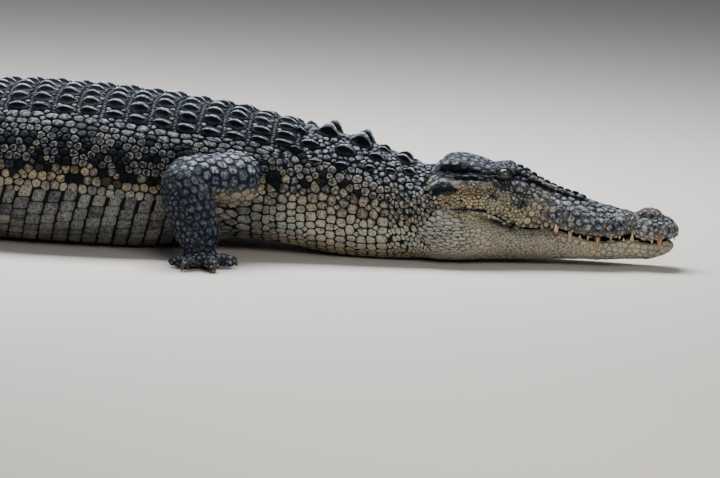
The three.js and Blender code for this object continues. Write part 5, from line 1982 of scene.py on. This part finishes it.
def set_pattern(name, pattern, spots, turns, sizes, material, marks):
    """Copies the pattern to every spot with geometry nodes and gives it back as one plain mesh."""
    holder = new_object(name, new_mesh(name, spots, []))
    for label, values in (("turn", turns), ("size", sizes)):
        layer = holder.data.attributes.new(label, "FLOAT_VECTOR", "POINT")
        layer.data.foreach_set("vector", np.asarray(values, np.float32).ravel())
    for label, values in marks.items():
        set_values(holder.data, label, values)
    tree = bpy.data.node_groups.new(name + " setter", "GeometryNodeTree")
    sockets = {}
    for label, direction, kind in SETTER_SOCKETS:
        sockets[label] = tree.interface.new_socket(label, in_out=direction, socket_type="NodeSocket" + kind)
    nodes = {label: tree.nodes.new(kind) for label, kind in SETTER_NODES.items()}
    for label in ("turn", "size"):
        nodes[label].data_type = "FLOAT_VECTOR"
        nodes[label].inputs["Name"].default_value = label
    for label, operation in (("least", "SUBTRACT"), ("grown", "MULTIPLY"), ("sized", "SCALE")):
        nodes[label].operation = operation
    nodes["least"].inputs[0].default_value = 1.0
    nodes["chance"].inputs["Seed"].default_value = 5
    nodes["paint"].inputs["Material"].default_value = material
    for source, output, target, entry in SETTER_LINKS:
        tree.links.new(nodes[source].outputs[output], nodes[target].inputs[entry])
    setter = holder.modifiers.new("setter", "NODES")
    setter.node_group = tree
    for label, value in (("Pattern", pattern), ("Scale", 1.0), ("Size Spread", 0.06)):
        setter[sockets[label].identifier] = value
    mesh = applied(holder).data
    for label in ("turn", "size"):
        if label in mesh.attributes:
            mesh.attributes.remove(mesh.attributes[label])
    shade_smooth(mesh)
    bpy.data.objects.remove(pattern)
    return holder


def pattern_object(name, rings, tip):
    """A closed pattern from rings of equal count, its base capped and its end drawn to a tip."""
    count, around = rings.shape[:2]
    vertices = [*rings.reshape(-1, 3).tolist(), tip]
    base = tuple(range(around))[::-1]
    faces = [base] + walls(count, around) + fan((count - 1) * around, around, count * around)
    return new_object(name, new_mesh(name, vertices, faces))


# %% Horn, tooth and eye materials
def horn_material():
    n = Nodes("claw horn")
    streaks = n.noise(140.0)
    n.bump(streaks, 0.0004, 0.6)
    colour = n.mix(n.ramp(streaks, 0.3, 0.7), linear(22, 22, 24), linear(58, 54, 52))
    return n.surface({"Base Color": colour, "Roughness": 0.42})


def tooth_material():
    n = Nodes("tooth ivory")
    colour = n.mix(n.ramp(n.noise(90.0), 0.3, 0.7), linear(222, 205, 172), linear(196, 168, 124))
    colour = n.mix(n.times(n.attribute("stain"), 0.9), colour, linear(150, 92, 44))
    colour = n.mix(n.ramp(n.attribute("root"), 0.35, 1.0), colour, linear(112, 72, 44))
    return n.surface({"Base Color": colour, "Roughness": 0.32})


def eye_material():
    n = Nodes("eye")
    ahead, up = n.attribute("ahead"), n.attribute("up")
    far = n.math("SQRT", n.plus(n.times(ahead, ahead), n.times(up, up)))
    iris = n.mix(n.ramp(n.noise(420.0, 4.0), 0.3, 0.7), linear(36, 42, 36), linear(66, 71, 57))
    iris = n.mix(n.ramp(far, 0.45, 0.7), iris, linear(26, 28, 27))
    slit = n.line(n.times(up, up), -0.16, 0.085)
    slit = n.ramp(n.minus(n.math("ABSOLUTE", ahead), slit), -0.02, 0.02)
    # The top of the ball is painted dark, as the shade of the upper lid.
    colour = n.mix(n.ramp(up, 0.62, 0.55), linear(20, 22, 20), iris)
    colour = n.mix(slit, linear(6, 7, 8), colour)
    return n.surface({"Base Color": colour, "Roughness": 0.3, "Coat Weight": 0.25, "Coat Roughness": 0.1})


# %% [markdown]
# ## Eyes
#
# The eye is a wet ball with a slit for a pupil. It could carry a painted picture. Here its colours are
# worked out from two values kept at every vertex, how far ahead and how far up it lies on the ball, so
# the slit stays sharp at any distance and both eyes follow the same rule.

# %% Eyes
def make_eye(hand, side_name):
    """A ball that looks out of the lids, with its own directions kept at every vertex."""
    flip = np.array((1, hand, 1))
    out, ahead, up = EYE_OUT * flip, EYE_ALONG * flip, EYE_UP * flip
    bm = bmesh.new()
    bmesh.ops.create_uvsphere(bm, u_segments=64, v_segments=40, radius=1.0)
    local = np.array([tuple(v.co) for v in bm.verts])
    mesh = bpy.data.meshes.new("eyeball_" + side_name)
    bm.to_mesh(mesh)
    bm.free()
    bulge = 1 + 0.045 * smooth(local[:, 2], 0.8, 1.0)  # the clear front stands a little proud
    ball = local * bulge[:, None] * (EYE_RADIUS - 0.0002)
    placed = EYE * flip + ball[:, :1] * ahead + ball[:, 1:2] * up + ball[:, 2:] * out
    set_vertices(mesh, in_head(*placed.T))
    for name, values in zip(("ahead", "up"), local.T):
        set_values(mesh, name, values)
    if np.dot(np.cross(ahead, up), out) < 0:
        mesh.flip_normals()
    shade_smooth(mesh)
    mesh.materials.append(EYE_WET)
    made = new_object("eyeball_" + side_name, mesh)
    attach(made, "root")
    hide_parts("eye_" + side_name)


EYE_WET = eye_material()
for side_name, hand in reversed(SIDES):
    make_eye(hand, side_name)
print("eyes:", 2, "balls of", EYE_RADIUS * 2000, "mm")

# %% [markdown]
# ## Claws
#
# Three digits of each foot end in a claw, a dark sheath of horn that bends down. One cone is drawn out
# and bent, and its copies are only stretched and turned, so a change to the cone changes them all.

# %% Claws
def curved_cone(length, radius, droop, base=-0.25, levels=9, around=14, squash=0.8):
    """Rings along x that taper to a point and bend down."""
    share = np.linspace(base, 0.93, levels)[:, None]
    grown = np.clip(share, 0, 1)
    girth = radius * np.where(share < 0, 1.0, (1 - grown) ** 0.72)
    turn = full_turn(around)
    x = share * length + 0 * turn
    z = -droop * grown**2 * length + girth * np.sin(turn)
    return np.stack([x, girth * np.cos(turn) * squash, z], 2), (length, 0.0, -droop * length)


claw_pattern = pattern_object("claw_pattern", *curved_cone(1.0, 0.3, 0.3))
claw_names, claw_places, claw_runs, claw_girths = (np.array(column) for column in zip(*claw_roots))
claw_runs = unit(claw_runs - 0.3 * UP)
claw_places = claw_places + UP * (claw_girths * 0.25)[:, None] - claw_runs * 0.004
claw_length = np.where(np.char.startswith(claw_names, "claw_fore"), 0.018, 0.024)
claws = set_pattern("claws", claw_pattern, claw_places, turning(claw_runs, np.tile(UP, (len(claw_runs), 1))),
                    np.stack([claw_length, claw_girths * 1.9, claw_girths * 1.9], 1), horn_material(), {})
CLAW_GAP = 0.0008  # the claws' points stay this far above the floor
claw_points = vertex_array(claws.data)
claw_points[:, 2] = np.maximum(claw_points[:, 2], CLAW_GAP)
set_vertices(claws.data, claw_points)
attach(claws, "root")
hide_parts(*[name for name, *_rest in claw_roots])
print("claws:", len(claw_roots))

# %% [markdown]
# ## Teeth
#
# A crocodile's teeth show with its mouth shut. The upper ones hang outside the lower lip, and the
# lower ones stand in notches of the upper. Each is a row of a table, because no two are alike, and
# each root is found by a ray from the side, so that it starts on the lip, however the lip curves.

# %% Teeth
# Each: how far forward, length and girth in millimetres, how far its point leans forward, how stained,
# and how far it stands out of the lip, in millimetres.
UPPER_TEETH = [(0.586, 10, 4.2, 0.3, 0.2, -2), (0.552, 30, 7.4, -0.12, 1.0, 0), (0.532, 12, 5.0, 0, 0.2, -2),
               (0.452, 10, 4.6, 0, 0.1, -2), (0.43, 9, 4.6, 0, 0, -2), (0.398, 34, 7.8, -0.05, 0.95, 7),
               (0.374, 11, 5.2, 0, 0.3, -2), (0.33, 22, 6.6, -0.1, 0.25, 3), (0.262, 8, 4.4, 0, 0.3, -2)]
LOWER_TEETH = [(0.57, 11, 4.8, 0.1, 0.2, -2), (0.482, 22, 6.8, 0.1, 0.3, 0), (0.462, 9, 4.2, 0, 0, -2),
               (0.296, 22, 6.8, 0.05, 0.15, 7), (0.354, 9, 4.4, 0, 0.1, -2)]
NOTCHED = 0.296  # the lower tooth that stands in a notch, outside the upper lip


def lip_places(forward, hand, up, sunk):
    """Places on the jaw's side at a height, sunk a little way into it."""
    start = in_head(forward, hand * 0.25 + 0 * forward, up)
    inward = -hand * HEAD_TURN[:, 1]
    hits = [hide_tree.ray_cast(Vector(p), Vector(inward), 0.25)[0] for p in start.tolist()]
    middle = in_head(forward, 0 * forward, up)
    found = np.array([tuple(hit or m) for hit, m in zip(hits, middle.tolist())])
    return found + inward * np.asarray(sunk)[..., None]


def tooth_row(teeth, down):
    """Places, directions and sizes of a row of teeth on both sides of a jaw."""
    forward, length, girth, lean, stain, stands_out = np.array(teeth, float).T
    length, girth, stands_out = length / 1000, girth / 1000, stands_out / 1000
    gum = mouth_line(forward) - down * (mouth_gape(forward) + 0.0015)
    spots, runs = [], []
    for hand in (1, -1):
        root = lip_places(forward, hand, gum, -0.8 * stands_out)
        in_notch = lip_places(forward, hand, gum + down * 0.014, 0.0015) - HEAD_TURN[:, 2] * down * 0.014
        root = np.where((forward == NOTCHED)[:, None], in_notch, root)
        past_lip = lip_places(forward + lean * length, hand, gum + down * length, -0.003 - stands_out)
        straight = root + HEAD_TURN[:, 2] * (down * length)[:, None]
        straight = straight + HEAD_TURN[:, 0] * (lean * length)[:, None]
        out = (past_lip - root) @ (hand * HEAD_TURN[:, 1])
        out = np.clip(out, stands_out, 0.013 + 2 * np.maximum(stands_out, 0))
        tips = straight + hand * HEAD_TURN[:, 1] * out[:, None]
        spots.append(root)
        runs.append(unit(tips - root))
    size = np.tile(np.stack([length, girth, girth], 1), (2, 1))
    return np.vstack(spots), np.vstack(runs), size, np.tile(stain, 2)


upper, lower = tooth_row(UPPER_TEETH, -1), tooth_row(LOWER_TEETH, 1)
spots, runs, sizes, stain = (np.concatenate(pair) for pair in zip(upper, lower))
tooth = curved_cone(1.0, 1.0, 0.06, base=-0.5, levels=8, around=10, squash=1.0)
tooth_pattern = pattern_object("tooth_pattern", *tooth)
share = vertex_array(tooth_pattern.data)[:, 0]
set_values(tooth_pattern.data, "root", 1 - smooth(share, -0.1, 0.35))
turns = turning(runs, np.tile(HEAD_TURN[:, 0], (len(runs), 1)))
teeth = set_pattern("teeth", tooth_pattern, spots, turns, sizes, tooth_material(), {"stain": stain})
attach(teeth, "root")
print("teeth:", len(spots))

# %% [markdown]
# ## The tail's crest
#
# Along the tail stands a saw of hide: two rows at its root, which draw together into one tall row and
# shrink towards the tip. Each blade is the same pattern, convex in front and hollow behind. A ray from
# above finds the skin under each, and the two rows lean outwards with it.

# %% The tail's crest
CREST_START, CREST_PITCH, DOUBLE_ROWS = TAIL_START + 0.04, 0.062, 16
crest_count = int((TAIL_TIP - TAIL_START - 0.06) / CREST_PITCH)


def saw_pattern(levels=7, around=14):
    """A blade of hide one unit long, thick and tall: convex in front, steep and hollow behind."""
    up = np.concatenate([[-0.15], np.linspace(0, 0.94, levels)])
    grown = np.clip(up, 0, 1)
    peak = -0.4
    front = peak + (0.52 - peak) * (1 - grown) ** 0.7
    rear = peak + (-0.5 - peak) * (1 - grown) ** 1.6
    turn = full_turn(around)
    half_length, middle = (front - rear) / 2, (front + rear) / 2
    thick = 0.5 * (0.16 + 0.84 * (1 - grown) ** 1.3)
    across = np.sin(turn) * np.abs(np.sin(turn)) ** 0.4
    rings = np.stack([
        middle[:, None] + half_length[:, None] * np.cos(turn),
        thick[:, None] * across[None, :] * np.ones((len(up), 1)),
        np.broadcast_to(up[:, None], (len(up), around)),
    ], 2)
    return rings, (peak, 0.0, 1.0)


ROOT_RISE, MERGED_RISE, TALLEST, TIP_RISE = 0.016, 0.05, 0.062, 0.022  # heights of the blades
rows = []  # behind, side, height
for i in range(crest_count):
    behind = CREST_START + CREST_PITCH * i
    if i < DOUBLE_ROWS:
        side = float(BODY(behind)[0]) * (0.5 + (0.16 - 0.5) * i / DOUBLE_ROWS)
        rise = ROOT_RISE + (MERGED_RISE - ROOT_RISE) * i / DOUBLE_ROWS
        rows += [(behind, side, rise), (behind, -side, rise)]
    else:
        share = (i - DOUBLE_ROWS) / (crest_count - DOUBLE_ROWS)
        rows.append((behind, 0.0, TALLEST + (TIP_RISE - TALLEST) * share))
behind, side, rise = np.array(rows).T
above = beside_spine(behind, side, np.full(len(behind), 0.6))
feet = [hide_tree.ray_cast(Vector(p), Vector((0, 0, -1))) for p in above.tolist()]
spots = np.array([tuple(hit[0]) for hit in feet])
lean_out = np.array([tuple(hit[1]) for hit in feet])
direction = spine_direction(behind)
up = unit(UP + 0.8 * lean_out)
spots = spots - up * 0.002
saw = pattern_object("saw_pattern", *saw_pattern())
shape = vertex_array(saw.data)
# Each blade's foot is painted dark, as shade where it meets the tail, and its top pale, as painted highlight.
set_values(saw.data, "rim", 0.35 + 0.65 * (1 - smooth(shape[:, 2], -0.1, 0.14)))
set_values(saw.data, "crest", 0.55 * smooth(shape[:, 2], 0.6, 1.0))
CREST_LENGTH, CREST_THICKNESS = CREST_PITCH * 0.96, 0.012
sizes = np.stack([np.full(len(rise), CREST_LENGTH), CREST_THICKNESS + 0.1 * rise, rise + 0.002], 1)
CREST_LOOK = dict(tone=0.92, gold=0, blot=0.25, pale=0.25, shine=0.5, seam=1, rust=0, calm=0, ring=0, steep=0)
crest_marks = {name: np.full(len(rise), value) for name, value in CREST_LOOK.items()}
crest_marks["chance"] = np.random.default_rng(3).random(len(rise))
tail_crest = set_pattern("tail_crest", saw, spots, turning(direction, up), sizes, HIDE, crest_marks)
on_tail, off_middle = body_places(vertex_array(tail_crest.data))
flat = np.stack([(on_tail - TAIL_START) / (TAIL_TIP - TAIL_START), 0.5 + off_middle], 1)
set_map(tail_crest.data, np.clip(flat, 0, 1))
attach(tail_crest, "root")
print("tail crest:", len(spots), "saws")

# %% [markdown]
# ## Camera, floor and light
#
# The animal is shown from its right side, a little from in front and from above, through a long lens,
# which keeps head and tail in their true proportions. The light is a soft one from above, like an
# overcast sky, with a weak warm one low in front, so that every scale keeps a dark crease beside it.

# %% Camera, floor and light
EYE_OFFSET = (0.3675, 0.1675)  # how far right of and above the frame's middle the eyes stand
VIEW = {"azimuth": 12, "elevation": 9, "roll": 1.8, "distance": 14.0, "width": 1.8}
a, e = math.radians(VIEW["azimuth"]), math.radians(VIEW["elevation"])
back = Vector((math.sin(a) * math.cos(e), -math.cos(a) * math.cos(e), math.sin(e)))
look = (-back).to_track_quat("-Z", "Y") @ Quaternion((0, 0, 1), math.radians(VIEW["roll"]))
aim = eye_mid - look @ Vector((EYE_OFFSET[0], 0, 0)) - look @ Vector((0, EYE_OFFSET[1], 0))
lens = bpy.data.cameras.new("camera")
lens.sensor_width = 36
lens.lens = 36 * VIEW["distance"] / VIEW["width"]
lens.clip_end = 100
camera = new_object("camera", lens)
camera.rotation_mode = "QUATERNION"
camera.rotation_quaternion = look
camera.location = aim + back * VIEW["distance"]
scene.camera = camera

n = Nodes("pale floor")
n.surface({"Base Color": linear(206, 200, 192), "Roughness": 0.9})
FLOOR = 30  # half its size, in metres
corners = [(-FLOOR, -FLOOR, 0), (FLOOR, -FLOOR, 0), (FLOOR, FLOOR, 0), (-FLOOR, FLOOR, 0)]
floor = new_object("floor", new_mesh("floor", corners, [(0, 1, 2, 3)]))
floor.data.materials.append(n.material)

world = bpy.data.worlds.new("room")
world.use_nodes = True
sky = world.node_tree.nodes["Background"]
sky.inputs["Color"].default_value = (0.8, 0.87, 1.0, 1)
sky.inputs["Strength"].default_value = 0.16
scene.world = world


def soft_light(name, place, size, power, colour):
    light = bpy.data.lights.new(name, "AREA")
    light.shape = "RECTANGLE"
    light.size, light.size_y = size
    light.energy = power
    light.color = colour
    obj = new_object(name, light)
    obj.location = place
    obj.rotation_mode = "QUATERNION"
    obj.rotation_quaternion = (eye_mid - Vector((1.2, 0, 0)) - Vector(place)).to_track_quat("-Z", "Y")


soft_light("overhead", (0.3, 1.1, 3.0), (3.0, 1.5), 340, (0.93, 0.97, 1.0))
soft_light("low front", (2.6, -3.2, 1.9), (1.8, 1.2), 60, (1.0, 0.96, 0.9))
print("camera", round(lens.lens), "mm,", VIEW["distance"], "m away")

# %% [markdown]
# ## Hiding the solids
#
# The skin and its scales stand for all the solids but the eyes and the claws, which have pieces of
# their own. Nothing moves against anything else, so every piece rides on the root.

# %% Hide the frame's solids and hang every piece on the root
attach(skin, "root")
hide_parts(*[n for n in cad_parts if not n.startswith(("eye", "claw"))])
for made, slot in coat:
    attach(made, "root")
